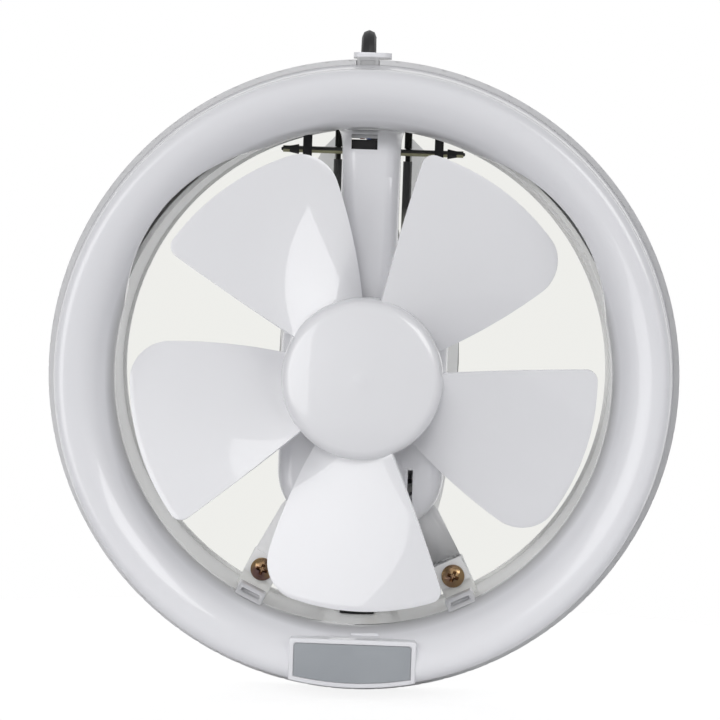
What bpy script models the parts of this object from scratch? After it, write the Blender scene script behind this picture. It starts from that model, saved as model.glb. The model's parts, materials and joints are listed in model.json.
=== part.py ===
"""Round wall exhaust fan with a two-flap back-draught shutter.

Frame: Y runs along the fan's axis, the room is at -Y and the duct at +Y, and Z is up.
The origin is on the axis in the plane of the wall, where the plate of the mounting ring rests.
"""
import math

import bmesh
import bpy
from mathutils import Matrix, Vector

# Clearances
seat_gap = 0.0003            # between two faces that touch
slide_gap = 0.0005           # round a pin, a screw shank or a sleeve
screw_hole_gap = 0.0003
tip_gap = 0.0065             # between the blade tips and the throat
tray_gap = 0.0004            # between the front ring and the tray's rim
flap_gap = 0.003             # between a closed flap and the sleeve
block_gap = 0.0006           # above the terminal block
rod_gap = 0.0024             # between the stop rod and the flaps' knuckles

# Front ring
mouth_width = 0.020          # from the throat out to the crown
mouth_depth = 0.027          # length of the curved mouth
edge_width = 0.005           # from the crown out to the side wall
side_draft = 0.0027          # how much wider the side wall is at the wall than at the crown
crown_depth = 0.006          # how far the outer edge rounds back
front_ring_depth = 0.0485    # from the wall to the crown
front_ring_wall = 0.0024
collar_wall = 0.0018
relief_depth = 0.0053        # of the two reliefs in the collar
relief_radius = 0.0763
relief_angle = 40.0          # degrees up from the side

# Mounting ring
tray_depth = 0.012
tray_wall = 0.0024
plate_thickness = 0.003
sleeve_step = 0.0025         # how much wider the sleeve is inside than the throat, on the radius
sleeve_wall = 0.002
sleeve_length = 0.0475       # behind the wall
sleeve_lap = 0.003           # how far the sleeve reaches over the collar
lip_height = 0.0014
lip_length = 0.003
wall_screw_hole = 0.0023
wall_screw_count = 4

# Arm and motor pod
arm_width = 0.0257
arm_wall = 0.002
arm_front = -0.0085          # front face of the arm and of the pod
root_height = 0.0048         # strap that joins the arm to the collar
root_start = -0.024
root_sweep = 0.0115          # height over which the arm's front curves out to the collar
pod_half_width = 0.0365
pod_top = 0.037
pod_bottom = -0.068
pod_corner = 0.025
pod_wall = 0.0022
pod_round = 0.007
parting = 0.0135             # joint between the pod and its cover
cover_depth = 0.0285
window_width = 0.0114
window_height = 0.0064
window_left = -0.0088
window_drop = 0.0048         # from the arm's root down to the window's lower edge
vent_height = 0.021
vent_width = 0.0022
vent_bottom = -0.062

# Legs, lugs and tabs
foot_inset = 0.0112          # from the sleeve in to the foot screws
foot_angle = 25.5            # degrees from straight down
leg_width = 0.0142
leg_thickness = 0.0016
foot_pad_rise = 0.002
leg_tab_width = 0.009
lug_width = 0.0144
lug_depth = 0.011
lug_height = 0.0175
catch_width = 0.013
catch_front = -0.031
catch_length = 0.016
cover_boss_x = 0.0235
lower_boss_z = -0.054
upper_boss_x = 0.022
upper_boss_z = 0.0266
boss_radius = 0.004
cover_boss_radius = 0.0055
cover_head_radius = 0.0034
cover_shank_radius = 0.0015
cover_head_height = 0.0022
foot_head_radius = 0.00515
foot_head_height = 0.003
foot_shank_radius = 0.00195
foot_screw_length = 0.012

# Impeller
hub_radius = 0.0349
hub_front = -0.0485
hub_dome = 0.0035            # from the centre back to the shoulder
hub_rear = -0.0135
hub_wall = 0.0022
hub_edge_round = 0.0046
hub_bump = 0.0006
blade_count = 5
blade_tip_radius = 0.101
blade_thickness = 0.0016
blade_root_front = -0.041
blade_root_rear = -0.0205
blade_tip_front = -0.0405
blade_tip_rear = -0.0235
blade_front_angle = 6.2      # degrees, front edge of the right-hand blade at the hub
blade_rear_angle = -50.9
blade_tip_front_angle = 4.4
blade_tip_rear_angle = -42.5
blade_front_corner = 0.005
blade_rear_corner = 0.0155
hub_sleeve_radius = 0.006
clip_thickness = 0.001
clip_length = 0.004

# Motor
shaft_radius = 0.0025
shaft_front = -0.039
shaft_rear = 0.0385
core_front = 0.0085
core_depth = 0.018
core_half_width = 0.030
core_top = 0.021
core_bottom = -0.040
core_bar = 0.010
window_half_width = 0.0155
core_window_top = -0.017
rotor_radius = 0.0127
air_gap = 0.0005
end_ring_length = 0.0017
coil_half_width = 0.0145
coil_thickness = 0.008
bobbin_wall = 0.001
bracket_half_height = 0.007
bracket_bar = 0.003
bracket_reach = 0.008        # from the core to the outer face of the bar
bracket_foot = 0.009
bearing_radius = 0.007
bearing_length = 0.0062
bush_radius = 0.0042
motor_screw_inset = 0.0055   # from the core's side to the screws
motor_screw_radius = 0.0015
motor_head_radius = 0.0029
motor_head_height = 0.002

# Terminal block and wires
block_height = 0.0118
block_depth = 0.010
wire_radius = 0.0011

# Shutter
post_spacing = 0.0314
post_radius = 0.0012
post_y = 0.0455
flap_thickness = 0.0012
knuckle_radius = 0.0021
flap_open_angle = 73.0       # degrees, as in the photo
rod_radius = 0.0015
rod_drop = 0.0116            # from the top of the sleeve down to the rod
rod_reach = 0.37             # half the rod's length, as a share of the sleeve's radius
rod_cap_radius = 0.0023
rod_cap_length = 0.008
rod_cap_lap = 0.0008         # how far a cap's closed end stands past the rod
rod_clip_gap = 0.0018        # between a clip and a cap
rod_clip_width = 0.004
rod_clip_depth = 0.0045

# Nameplate, in a flat pad at the bottom of the ring
pad_half_width = 0.0273
pad_cover = 0.8              # how much of the mouth's width the pad covers
pad_edge = 0.0002            # how far the pad stays inside the ring's outer radius
pad_rise = 0.0005            # in front of the crown
pad_border = 0.0019
pad_depth = 0.0125
nameplate_thickness = 0.0005
nameplate_sink = 0.0002

# Black bumper on the floor of the sleeve
bumper_half_width = 0.0077
bumper_thickness = 0.0016
bumper_front = 0.029
bumper_rear = 0.0405

# Cord
cord_radius = 0.003
boot_radius = 0.00325
cord_x = -0.0028
cord_y = -0.0075
boot_bend = 0.008
boot_rise = 0.010            # from the tray's rim up to the boot's centre line
boot_end = 0.004
boot_inside = 0.0035         # how far the boot reaches down inside the rim
grommet_left = -0.0092
grommet_right = 0.0075
grommet_head = 0.003         # height of the head outside the rim
grommet_head_y = -0.0068
grommet_head_half = 0.0054
grommet_inside = 0.0049
grommet_cheek = 0.001
grommet_recess = 0.0031
cord_pitch = 0.0066
hank_runs = 4                # runs at the back of the hank; there is one less in front
hank_top = 0.049
hank_bottom = -0.041
hank_radius = 0.013
hank_waist = 0.0036
hank_y = 0.063
tie_thickness = 0.0012
tie_height = 0.008
plug_width = 0.026
plug_thickness = 0.013
plug_length = 0.032
plug_round = 0.0028
plug_x = 0.005
pin_radius = 0.0024
pin_length = 0.018
pin_spacing = 0.0128
tail_length = 0.026

# Fineness
ring_steps = 60
hub_steps = 32
screw_steps = 10

# Places that follow from the sizes
throat_radius = blade_tip_radius + tip_gap
crown_radius = throat_radius + mouth_width      # where the ring comes nearest to the room
front_ring_radius = crown_radius + edge_width
seat_radius = front_ring_radius + side_draft      # the side wall where it meets the plate
tray_inner = seat_radius + tray_gap
tray_radius = tray_inner + tray_wall
sleeve_radius = throat_radius + sleeve_step
ring_seat = -(plate_thickness + seat_gap)
throat_end = -(front_ring_depth - mouth_depth)
sleeve_front = throat_end - sleeve_lap
sleeve_outer = sleeve_radius + sleeve_wall
wall_screw_radius = (sleeve_outer + tray_inner) / 2
root_top = throat_radius + 0.0009
root_bottom = root_top - root_height
cover_rear = parting + seat_gap + cover_depth
leg_front = parting + seat_gap
leg_rear = leg_front + leg_thickness
core_rear = core_front + core_depth
motor_screw_x = core_half_width - motor_screw_inset
foot_radius = sleeve_radius - foot_inset
lug_inner_radius = sleeve_radius - lug_height
window_bottom = root_bottom - window_drop
block_top = root_bottom - block_gap
block_bottom = block_top - block_height
pad_top = -(crown_radius - pad_cover * mouth_width)
post_x = post_spacing / 2
flap_radius = sleeve_radius - flap_gap
rod_height = sleeve_radius - rod_drop
rod_half_length = rod_reach * sleeve_radius
rod_cap_start = rod_half_length - rod_cap_length + rod_cap_lap
rod_clip_x = rod_cap_start - rod_clip_gap - rod_clip_width / 2
knuckle_top = rod_height - rod_radius - rod_gap
boot_top = tray_radius + boot_rise
boot_bottom = tray_radius - boot_inside
grommet_top = tray_radius + grommet_head
grommet_bottom = tray_radius - grommet_inside
knuckle_bottom = seat_gap - math.sqrt((sleeve_radius - lip_height) ** 2 - (post_x + knuckle_radius) ** 2)


def clear_scene():
    for item in list(bpy.data.objects):
        bpy.data.objects.remove(item, do_unlink=True)


clear_scene()
parts = bpy.data.collections.new("round_exhaust_fan")
cutters = bpy.data.collections.new("cutters")
bpy.context.scene.collection.children.link(parts)
bpy.context.scene.collection.children.link(cutters)


def finish(name, colour, roughness, metallic=0.0):
    """A Principled material in the part's own colour."""
    made = bpy.data.materials.new(name)
    made.use_nodes = True
    shader = made.node_tree.nodes["Principled BSDF"]
    shader.inputs["Base Color"].default_value = (*colour, 1.0)
    shader.inputs["Roughness"].default_value = roughness
    shader.inputs["Metallic"].default_value = metallic
    return made


def new_object(name, mesh):
    made = bpy.data.objects.new(name, mesh)
    cutters.objects.link(made)
    return made


def mesh_from(name, builder):
    mesh = bpy.data.meshes.new(name)
    builder.to_mesh(mesh)
    builder.free()
    return new_object(name, mesh)


def keep(item, look, smooth_angle=35.0):
    """Make an object one of the fan's pieces."""
    cutters.objects.unlink(item)
    parts.objects.link(item)
    item.data.materials.clear()
    item.data.materials.append(look)
    if item.type == "MESH":
        item.data.shade_smooth()
        item.data.set_sharp_from_angle(angle=math.radians(smooth_angle))
    return item


def hide_tool(tool):
    tool.hide_render = True
    tool.display_type = "WIRE"


def combine(target, tool, operation):
    hide_tool(tool)
    step = target.modifiers.new(tool.name, "BOOLEAN")
    step.operation = operation
    step.solver = "EXACT"
    step.object = tool
    return target


def join(target, tool):
    return combine(target, tool, "UNION")


def cut(target, tool):
    return combine(target, tool, "DIFFERENCE")


def box(name, x, y, z):
    """A box between three pairs of limits."""
    builder = bmesh.new()
    bmesh.ops.create_cube(builder, size=1.0)
    size = Matrix.Diagonal((x[1] - x[0], y[1] - y[0], z[1] - z[0], 1.0))
    centre = Vector((sum(x) / 2, sum(y) / 2, sum(z) / 2))
    builder.transform(Matrix.Translation(centre) @ size)
    return mesh_from(name, builder)


def rod(name, start, end, radius, steps=screw_steps, end_radius=None):
    """A round bar between two points."""
    start, end = Vector(start), Vector(end)
    along = end - start
    builder = bmesh.new()
    bmesh.ops.create_cone(builder, cap_ends=True, segments=steps, radius1=radius,
                          radius2=radius if end_radius is None else end_radius, depth=along.length)
    turn = along.to_track_quat("Z", "Y").to_matrix().to_4x4()
    builder.transform(Matrix.Translation((start + end) / 2) @ turn)
    return mesh_from(name, builder)


def turned(name, profile, steps=ring_steps, closed=True):
    """A profile of (radius, y) points, turned about the Y axis."""
    builder = bmesh.new()
    corners = [builder.verts.new((radius, y, 0.0)) for radius, y in profile]
    for first, second in zip(corners, corners[1:]):
        builder.edges.new((first, second))
    if closed:
        builder.edges.new((corners[-1], corners[0]))
    item = mesh_from(name, builder)
    screw = item.modifiers.new("turn", "SCREW")
    screw.axis = "Y"
    screw.steps = steps
    screw.render_steps = steps
    screw.use_merge_vertices = True
    screw.merge_threshold = 0.00001
    screw.use_normal_calculate = True
    return item


def settle(item):
    """Replace a curve or a modified object by its finished mesh, in world coordinates."""
    bpy.context.view_layer.update()
    evaluated = item.evaluated_get(bpy.context.evaluated_depsgraph_get())
    mesh = bpy.data.meshes.new_from_object(evaluated)
    mesh.transform(item.matrix_world)
    name = item.name
    bpy.data.objects.remove(item, do_unlink=True)
    builder = bmesh.new()
    builder.from_mesh(mesh)
    bmesh.ops.remove_doubles(builder, verts=builder.verts, dist=0.000005)
    bmesh.ops.recalc_face_normals(builder, faces=builder.faces)
    if builder.calc_volume(signed=True) < 0:
        bmesh.ops.reverse_faces(builder, faces=builder.faces)
    bpy.data.meshes.remove(mesh)
    return mesh_from(name, builder)


def slab(name, outlines, y):
    """Flat outlines in the XZ plane, the outer one first, made thick between two y values."""
    flat = bpy.data.curves.new(name, "CURVE")
    flat.dimensions = "2D"
    flat.fill_mode = "BOTH"
    flat.extrude = (y[1] - y[0]) / 2
    for outline in outlines:
        line = flat.splines.new("POLY")
        line.points.add(len(outline) - 1)
        for point, (x, z) in zip(line.points, outline):
            point.co = (x, z, 0.0, 1.0)
        line.use_cyclic_u = True
    item = new_object(name, flat)
    item.matrix_world = Matrix.Translation((0.0, sum(y) / 2, 0.0)) @ Matrix.Rotation(math.pi / 2, 4, "X")
    item = settle(item)
    builder = bmesh.new()
    builder.from_mesh(item.data)
    bmesh.ops.dissolve_limit(builder, angle_limit=0.01, verts=builder.verts, edges=builder.edges)
    builder.to_mesh(item.data)
    builder.free()
    return item


def tube(name, points, radius, resolution=2):
    """A round wire along a list of points."""
    line = bpy.data.curves.new(name, "CURVE")
    line.dimensions = "3D"
    line.bevel_depth = radius
    line.bevel_resolution = resolution
    line.use_fill_caps = True
    spline = line.splines.new("POLY")
    spline.points.add(len(points) - 1)
    for point, place in zip(spline.points, points):
        point.co = (*place, 1.0)
    return settle(new_object(name, line))


def smooth_route(route, spacing):
    """Points at about an even spacing on a smooth curve through the route's own points."""
    route = [Vector(point) for point in route]
    ends = [2 * route[0] - route[1]] + route + [2 * route[-1] - route[-2]]
    fine = []
    for before, start, end, after in zip(ends, ends[1:], ends[2:], ends[3:]):
        for step in range(24):
            t = step / 24
            fine.append(0.5 * (2 * start + (end - before) * t
                               + (2 * before - 5 * start + 4 * end - after) * t ** 2
                               + (3 * start - before - 3 * end + after) * t ** 3))
    fine.append(route[-1])
    length = sum((second - first).length for first, second in zip(fine, fine[1:]))
    count = max(2, round(length / spacing))
    points = [fine[0]]
    travelled = 0.0
    for first, second in zip(fine, fine[1:]):
        travelled += (second - first).length
        if travelled >= length * len(points) / count and len(points) < count:
            points.append(second)
    points.append(fine[-1])
    return points


def arc(centre, radius, start, end, steps):
    """Points of an arc in the XZ plane, angles in degrees, both ends included."""
    turns = [math.radians(start + (end - start) * step / steps) for step in range(steps + 1)]
    return [(centre[0] + radius * math.cos(a), centre[1] + radius * math.sin(a)) for a in turns]


def move_origin(item, point):
    """Put the object's origin on a point, such as one on its joint's axis."""
    item.data.transform(Matrix.Translation(-Vector(point)))
    item.location = point
    return item


def polar_matrix(angle):
    """Turn about the fan's axis: an angle of 0 keeps +Z up, a positive angle turns towards +X."""
    return Matrix.Rotation(math.radians(angle), 4, "Y")


def turn_round_axis(item, angle):
    item.data.transform(polar_matrix(angle))
    return item


def screw(name, head, tip, head_radius, head_height, shank_radius, look):
    """A pan-head screw with a cross recess; head is the point under the head."""
    head, tip = Vector(head), Vector(tip)
    along = (tip - head).normalized()
    crown = head - along * head_height
    body = rod(name, head, crown, head_radius, 16, head_radius * 0.72)
    join(body, rod(name + "_shank", head - along * head_height / 2, tip, shank_radius))
    side = along.orthogonal().normalized()
    other = along.cross(side)
    recess = head_radius * 0.55
    thin = head_radius * 0.11
    for index, (wide, narrow) in enumerate(((side, other), (other, side))):
        builder = bmesh.new()
        bmesh.ops.create_cube(builder, size=2.0)
        frame = Matrix((wide * recess, narrow * thin, along * head_height * 0.5)).transposed().to_4x4()
        builder.transform(Matrix.Translation(crown) @ frame)
        bmesh.ops.recalc_face_normals(builder, faces=builder.faces)
        cut(body, mesh_from(f"{name}_recess_{index}", builder))
    return keep(settle(body), look)


white_plastic = finish("white_plastic", (0.80, 0.80, 0.82), 0.28)
ring_plastic = finish("ring_plastic", (0.78, 0.78, 0.79), 0.34)
black_plastic = finish("black_plastic", (0.02, 0.02, 0.022), 0.45)
black_rubber = finish("black_rubber", (0.015, 0.015, 0.016), 0.6)
leg_steel = finish("leg_steel", (0.55, 0.55, 0.57), 0.38, 0.3)
zinc_yellow = finish("zinc_yellow", (0.62, 0.47, 0.2), 0.3, 1.0)
zinc = finish("zinc", (0.6, 0.61, 0.62), 0.35, 1.0)
steel = finish("steel", (0.55, 0.56, 0.58), 0.3, 1.0)
core_steel = finish("core_steel", (0.28, 0.29, 0.31), 0.45, 1.0)
aluminium = finish("aluminium", (0.72, 0.72, 0.73), 0.4, 1.0)
bronze = finish("bronze", (0.55, 0.36, 0.16), 0.4, 1.0)
brass = finish("brass", (0.78, 0.6, 0.28), 0.28, 1.0)
nylon = finish("nylon", (0.75, 0.73, 0.66), 0.5)
coil_tape = finish("coil_tape", (0.72, 0.5, 0.1), 0.5)
silver_foil = finish("silver_foil", (0.56, 0.57, 0.59), 0.35, 0.8)
wire_brown = finish("wire_brown", (0.22, 0.09, 0.04), 0.5)
wire_blue = finish("wire_blue", (0.05, 0.12, 0.4), 0.5)


def mouth_points(inset_radius, inset_depth, start, end, steps):
    """Points of the mouth's quarter ellipse: 0 degrees is the throat, 90 degrees the crown."""
    reach = crown_radius - throat_radius - inset_radius
    depth = mouth_depth - inset_depth
    turns = [math.radians(start + (end - start) * step / steps) for step in range(steps + 1)]
    return [(crown_radius - reach * math.cos(a), throat_end - depth * math.sin(a)) for a in turns]


def rounded_box_outline(half_width, bottom, top, radius, steps=5):
    x, low, high = half_width - radius, bottom + radius, top - radius
    return (arc((x, high), radius, 0, 90, steps) + arc((-x, high), radius, 90, 180, steps)
            + arc((-x, low), radius, 180, 270, steps) + arc((x, low), radius, 270, 360, steps))


def round_front_edges(item, y, width, segments=2):
    """Round the edges that lie in the plane y."""
    builder = bmesh.new()
    builder.from_mesh(item.data)
    edges = [edge for edge in builder.edges if all(abs(v.co.y - y) < 1e-6 for v in edge.verts)]
    bmesh.ops.bevel(builder, geom=edges, offset=width, segments=segments, affect="EDGES", profile=0.5)
    builder.to_mesh(item.data)
    builder.free()
    return item


def make_front_ring():
    crown_edge = crown_depth - front_ring_depth
    outside = [(seat_radius, ring_seat), (front_ring_radius, crown_edge)]
    for angle in (30, 60):
        a = math.radians(angle)
        outside.append((crown_radius + (front_ring_radius - crown_radius) * math.cos(a),
                        crown_edge - crown_depth * math.sin(a)))
    inside = mouth_points(collar_wall, front_ring_wall, 0, 90, 3)
    inside += [(front_ring_radius - front_ring_wall, crown_edge), (seat_radius - front_ring_wall, ring_seat)]
    ring = settle(turned("front_ring", outside + mouth_points(0.0, 0.0, 90, 0, 5) + inside))

    # Arm, pod and the strap that joins the arm to the collar
    half = arm_width / 2
    pod = slab("pod_outside", [rounded_box_outline(pod_half_width, pod_bottom, pod_top, pod_corner)],
               (arm_front, parting))
    join(ring, round_front_edges(pod, arm_front, pod_round))
    join(ring, box("arm_outside", (-half, half), (arm_front, parting), (pod_top - 0.012, root_top - 0.0002)))
    join(ring, arm_root(half))

    add_nameplate_pad(ring)

    # Catch tabs on the throat in front of the feet
    for side in (-1, 1):
        tab = box(f"catch_{side}", (-catch_width / 2, catch_width / 2),
                  (catch_front, catch_front + catch_length), (-root_top, -root_bottom))
        join(ring, turn_round_axis(tab, side * -foot_angle))
        slot = box(f"catch_slot_{side}", (-catch_width / 3, catch_width / 3),
                   (catch_front - 0.001, catch_front + 0.003),
                   (-root_bottom - 0.0034, -root_bottom - 0.0012))
        cut(ring, turn_round_axis(slot, side * -foot_angle))

    # Shallow reliefs in the collar at the upper left and right
    offset = throat_radius + relief_depth - relief_radius
    for side in (-1, 1):
        angle = math.radians(relief_angle)
        x, z = side * offset * math.cos(angle), offset * math.sin(angle)
        cut(ring, rod(f"relief_{side}", (x, -front_ring_depth, z), (x, throat_end + 0.001, z),
                      relief_radius, ring_steps))

    # Hollow inside, open to the rear
    hollow = slab("pod_inside", [rounded_box_outline(pod_half_width - pod_wall, pod_bottom + pod_wall,
                                                     pod_top - pod_wall, pod_corner - pod_wall)],
                  (arm_front + pod_wall, parting + 0.001))
    cut(ring, round_front_edges(hollow, arm_front + pod_wall, pod_round - pod_wall / 2))
    cut(ring, box("arm_inside", (-half + arm_wall, half - arm_wall),
                  (arm_front + arm_wall, parting + 0.0013), (pod_top - 0.006, root_bottom)))

    # Bosses for the cover screws and the motor screws
    for index, (x, z) in enumerate(cover_boss_places()):
        join(ring, rod(f"cover_boss_{index}", (x, arm_front + 0.001, z), (x, parting, z), boss_radius))
        cut(ring, rod(f"cover_bore_{index}", (x, arm_front + 0.006, z), (x, parting + 0.002, z),
                      cover_shank_radius + screw_hole_gap))
    for side in (-1, 1):
        x = side * motor_screw_x
        rear = core_front - bracket_reach - seat_gap
        join(ring, rod(f"motor_boss_{side}", (x, arm_front + 0.001, 0), (x, rear, 0), boss_radius))
        cut(ring, rod(f"motor_bore_{side}", (x, rear - 0.005, 0), (x, rear + 0.002, 0),
                      motor_screw_radius + screw_hole_gap))

    # Holes: shaft, terminal window, vents, and the way in for the wires
    cut(ring, rod("shaft_hole", (0, arm_front - 0.002, 0), (0, arm_front + 0.004, 0), 0.0075, 20))
    cut(ring, box("terminal_window", (window_left, window_left + window_width),
                  (root_start - 0.001, arm_front + arm_wall + 0.001),
                  (window_bottom, window_bottom + window_height)))
    for x in (-0.022, -0.016, 0.016, 0.022):
        cut(ring, box(f"vent_{x}", (x - vent_width / 2, x + vent_width / 2),
                      (arm_front - 0.001, arm_front + pod_wall + 0.004),
                      (vent_bottom, vent_bottom + vent_height)))
    cut(ring, box("wire_way", (cord_x - 0.003, cord_x + 0.003), (arm_front + arm_wall, -0.0032),
                  (root_bottom - 0.001, root_top + 0.0006)))
    cut(ring, box("wire_notch", (cord_x - boot_radius - grommet_cheek - 0.0008,
                                 cord_x + boot_radius + grommet_cheek + 0.0008),
                  (-tray_depth - 0.0005, 0.0), (front_ring_radius - 0.006, seat_radius + 0.001)))
    return keep(settle(ring), white_plastic)


def arm_root(half):
    """The strap on the collar; its front curves down into the front of the arm."""
    low = throat_radius - root_sweep
    sweep = [(-arm_front + (arm_front - root_start) * (1 - math.cos(a)), low + root_sweep * math.sin(a))
             for a in (math.radians(15 * step) for step in range(7))]
    rear = -(parting - 0.0004)
    outline = sweep + [(-root_start, root_top), (rear, root_top), (rear, root_bottom),
                       (-arm_front - arm_wall, root_bottom), (-arm_front - arm_wall, low)]
    root = slab("arm_root", [outline], (-half, half))
    root.data.transform(Matrix.Rotation(-math.pi / 2, 4, "Z"))
    return root


def cover_boss_places():
    return [(side * x, z) for x, z in ((cover_boss_x, lower_boss_z), (upper_boss_x, upper_boss_z))
            for side in (-1, 1)]


def make_mounting_ring():
    profile = [(sleeve_radius, sleeve_front), (sleeve_outer, sleeve_front), (sleeve_outer, -plate_thickness),
               (tray_inner, -plate_thickness), (tray_inner, -tray_depth),
               (tray_radius, -tray_depth), (tray_radius, 0.0), (sleeve_outer, 0.0),
               (sleeve_outer, sleeve_length), (sleeve_radius - lip_height, sleeve_length),
               (sleeve_radius - lip_height, sleeve_length - lip_length),
               (sleeve_radius, sleeve_length - lip_length)]
    ring = settle(turned("mounting_ring", profile))

    # Lugs that the feet are screwed to
    lug_front = leg_rear + seat_gap
    for side in (-1, 1):
        lug = box(f"lug_{side}", (-lug_width / 2, lug_width / 2), (lug_front, lug_front + lug_depth),
                  (-sleeve_radius - 0.0008, -lug_inner_radius))
        join(ring, turn_round_axis(lug, side * -foot_angle))
        x, z = foot_place(side)
        cut(ring, rod(f"lug_bore_{side}", (x, lug_front - 0.001, z), (x, lug_front + foot_screw_length, z),
                      foot_shank_radius + screw_hole_gap))

    # Holes for the hinge posts, the wires, the grommet and the wall screws
    for side in (-1, 1):
        for end in (-1, 1):
            x = side * post_x
            cut(ring, rod(f"post_hole_{side}_{end}", (x, post_y, end * (sleeve_radius - 0.006)),
                          (x, post_y, end * (sleeve_outer + 0.002)), post_radius + screw_hole_gap))
    for index in range(wall_screw_count):
        angle = 2 * math.pi * (index + 0.5) / wall_screw_count
        x, z = wall_screw_radius * math.cos(angle), wall_screw_radius * math.sin(angle)
        cut(ring, rod(f"wall_hole_{index + 1}", (x, -plate_thickness - 0.002, z), (x, 0.002, z),
                      wall_screw_hole))
    cut(ring, box("sleeve_wire_way", (cord_x - 0.0035, cord_x + 0.0035),
                  (arm_front + arm_wall, -plate_thickness - 0.0002),
                  (sleeve_radius - 0.003, sleeve_outer + 0.002)))
    cut(ring, box("grommet_notch", (cord_x - boot_radius - grommet_cheek - 0.0008,
                                    cord_x + boot_radius + grommet_cheek + 0.0008),
                  (-tray_depth - 0.001, -plate_thickness), (tray_radius - 0.006, tray_radius + 0.002)))
    return keep(settle(ring), ring_plastic)


def foot_place(side):
    angle = math.radians(foot_angle)
    return side * foot_radius * math.sin(angle), -foot_radius * math.cos(angle)


def pad_outline(inset):
    """Straight top and sides; the bottom follows the ring's outer edge."""
    half, top = pad_half_width - inset, pad_top - inset
    reach = front_ring_radius - pad_edge - inset
    spread = math.degrees(math.asin(half / reach))
    return [(half, top), (-half, top)] + arc((0.0, 0.0), reach, 270 - spread, 270 + spread, 8)


def add_nameplate_pad(ring):
    front = -front_ring_depth - pad_rise
    join(ring, slab("nameplate_pad", [pad_outline(0.0)], (front, front + pad_depth)))
    sink = nameplate_sink + nameplate_thickness + seat_gap
    cut(ring, slab("nameplate_seat", [pad_outline(pad_border)], (front - 0.001, front + sink)))


def make_nameplate():
    front = -front_ring_depth - pad_rise + nameplate_sink
    plate = slab("nameplate", [pad_outline(pad_border + seat_gap)], (front, front + nameplate_thickness))
    keep(plate, silver_foil)


def make_bumper():
    """A black pad that lies on the sleeve's floor between the hinge posts."""
    def edge(radius):
        spread = math.degrees(math.asin(bumper_half_width / radius))
        return arc((0.0, 0.0), radius, 270 - spread, 270 + spread, 6)

    floor = sleeve_radius - seat_gap
    keep(slab("sleeve_bumper", [edge(floor) + list(reversed(edge(floor - bumper_thickness)))],
              (bumper_front, bumper_rear)), black_rubber)


def make_motor_cover():
    front = parting + seat_gap
    cover = slab("motor_cover", [rounded_box_outline(pod_half_width, pod_bottom, pod_top, pod_corner)],
                 (front, cover_rear))
    round_front_edges(cover, cover_rear, pod_round / 2, 2)
    hollow = slab("cover_inside", [rounded_box_outline(pod_half_width - pod_wall, pod_bottom + pod_wall,
                                                       pod_top - pod_wall, pod_corner - pod_wall)],
                  (front - 0.001, cover_rear - pod_wall))
    half = arm_width / 2
    join(cover, box("tongue", (-half, half), (front, front + pod_wall),
                    (pod_top - 0.001, root_bottom - seat_gap)))
    cut(cover, hollow)
    for index, (x, z) in enumerate(cover_boss_places()):
        boss_front = leg_rear + seat_gap if z < 0 else front
        join(cover, rod(f"rear_boss_{index}", (x, boss_front, z), (x, cover_rear - 0.0005, z),
                        cover_boss_radius if z < 0 else boss_radius + 0.0008, 16))
        cut(cover, rod(f"rear_bore_{index}", (x, front - 0.002, z), (x, front + 0.01, z),
                       cover_shank_radius + screw_hole_gap))
        cut(cover, rod(f"rear_pocket_{index}", (x, leg_rear + 0.0045, z), (x, cover_rear + 0.001, z),
                       cover_head_radius + screw_hole_gap, 16))
    for side in (-1, 1):
        cut(cover, leg_strap(f"leg_notch_{side}", side, slide_gap, (front - 0.001, leg_rear + seat_gap)))
    for x in (-0.016, 0.0, 0.016):
        cut(cover, box(f"rear_vent_{x}", (x - vent_width, x + vent_width),
                       (cover_rear - pod_wall - 0.001, cover_rear + 0.001), (-0.030, 0.018)))
    return keep(settle(cover), white_plastic)


def leg_strap(name, side, grow, y):
    """The strap from the pod to the foot, as a flat slab with a round end at the pod."""
    foot = Vector(foot_place(side))
    tab = Vector((side * cover_boss_x, lower_boss_z))
    along = (foot - tab).normalized()
    across = Vector((-along.y, along.x))
    wide, narrow = leg_width / 2 + grow, leg_tab_width / 2 + grow
    shoulder = tab + along * 0.011
    end = foot + along * 0.0042
    turn = math.degrees(math.atan2(-across.y, -across.x))
    corners = [shoulder + across * wide, end + across * wide, end - across * wide, shoulder - across * wide]
    outline = [tuple(corner) for corner in corners] + arc(tab, narrow, turn, turn - 180, 6)
    return slab(name, [outline], y)


def make_leg(name, side):
    leg = leg_strap(name, side, 0.0, (leg_front, leg_rear))
    x, z = foot_place(side)
    pad = box(name + "_pad", (-leg_width / 2 + 0.0004, leg_width / 2 - 0.0004),
              (leg_front - foot_pad_rise, leg_front + leg_thickness / 2),
              (-foot_radius - 0.0036, -foot_radius + 0.0068))
    join(leg, turn_round_axis(pad, side * -foot_angle))
    cut(leg, rod(name + "_foot_hole", (x, leg_front - 0.005, z), (x, leg_rear + 0.002, z),
                 foot_shank_radius + screw_hole_gap))
    tab_x = side * cover_boss_x
    cut(leg, rod(name + "_tab_hole", (tab_x, leg_front - 0.002, lower_boss_z),
                 (tab_x, leg_rear + 0.002, lower_boss_z), cover_shank_radius + screw_hole_gap))
    return keep(settle(leg), leg_steel)


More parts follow.
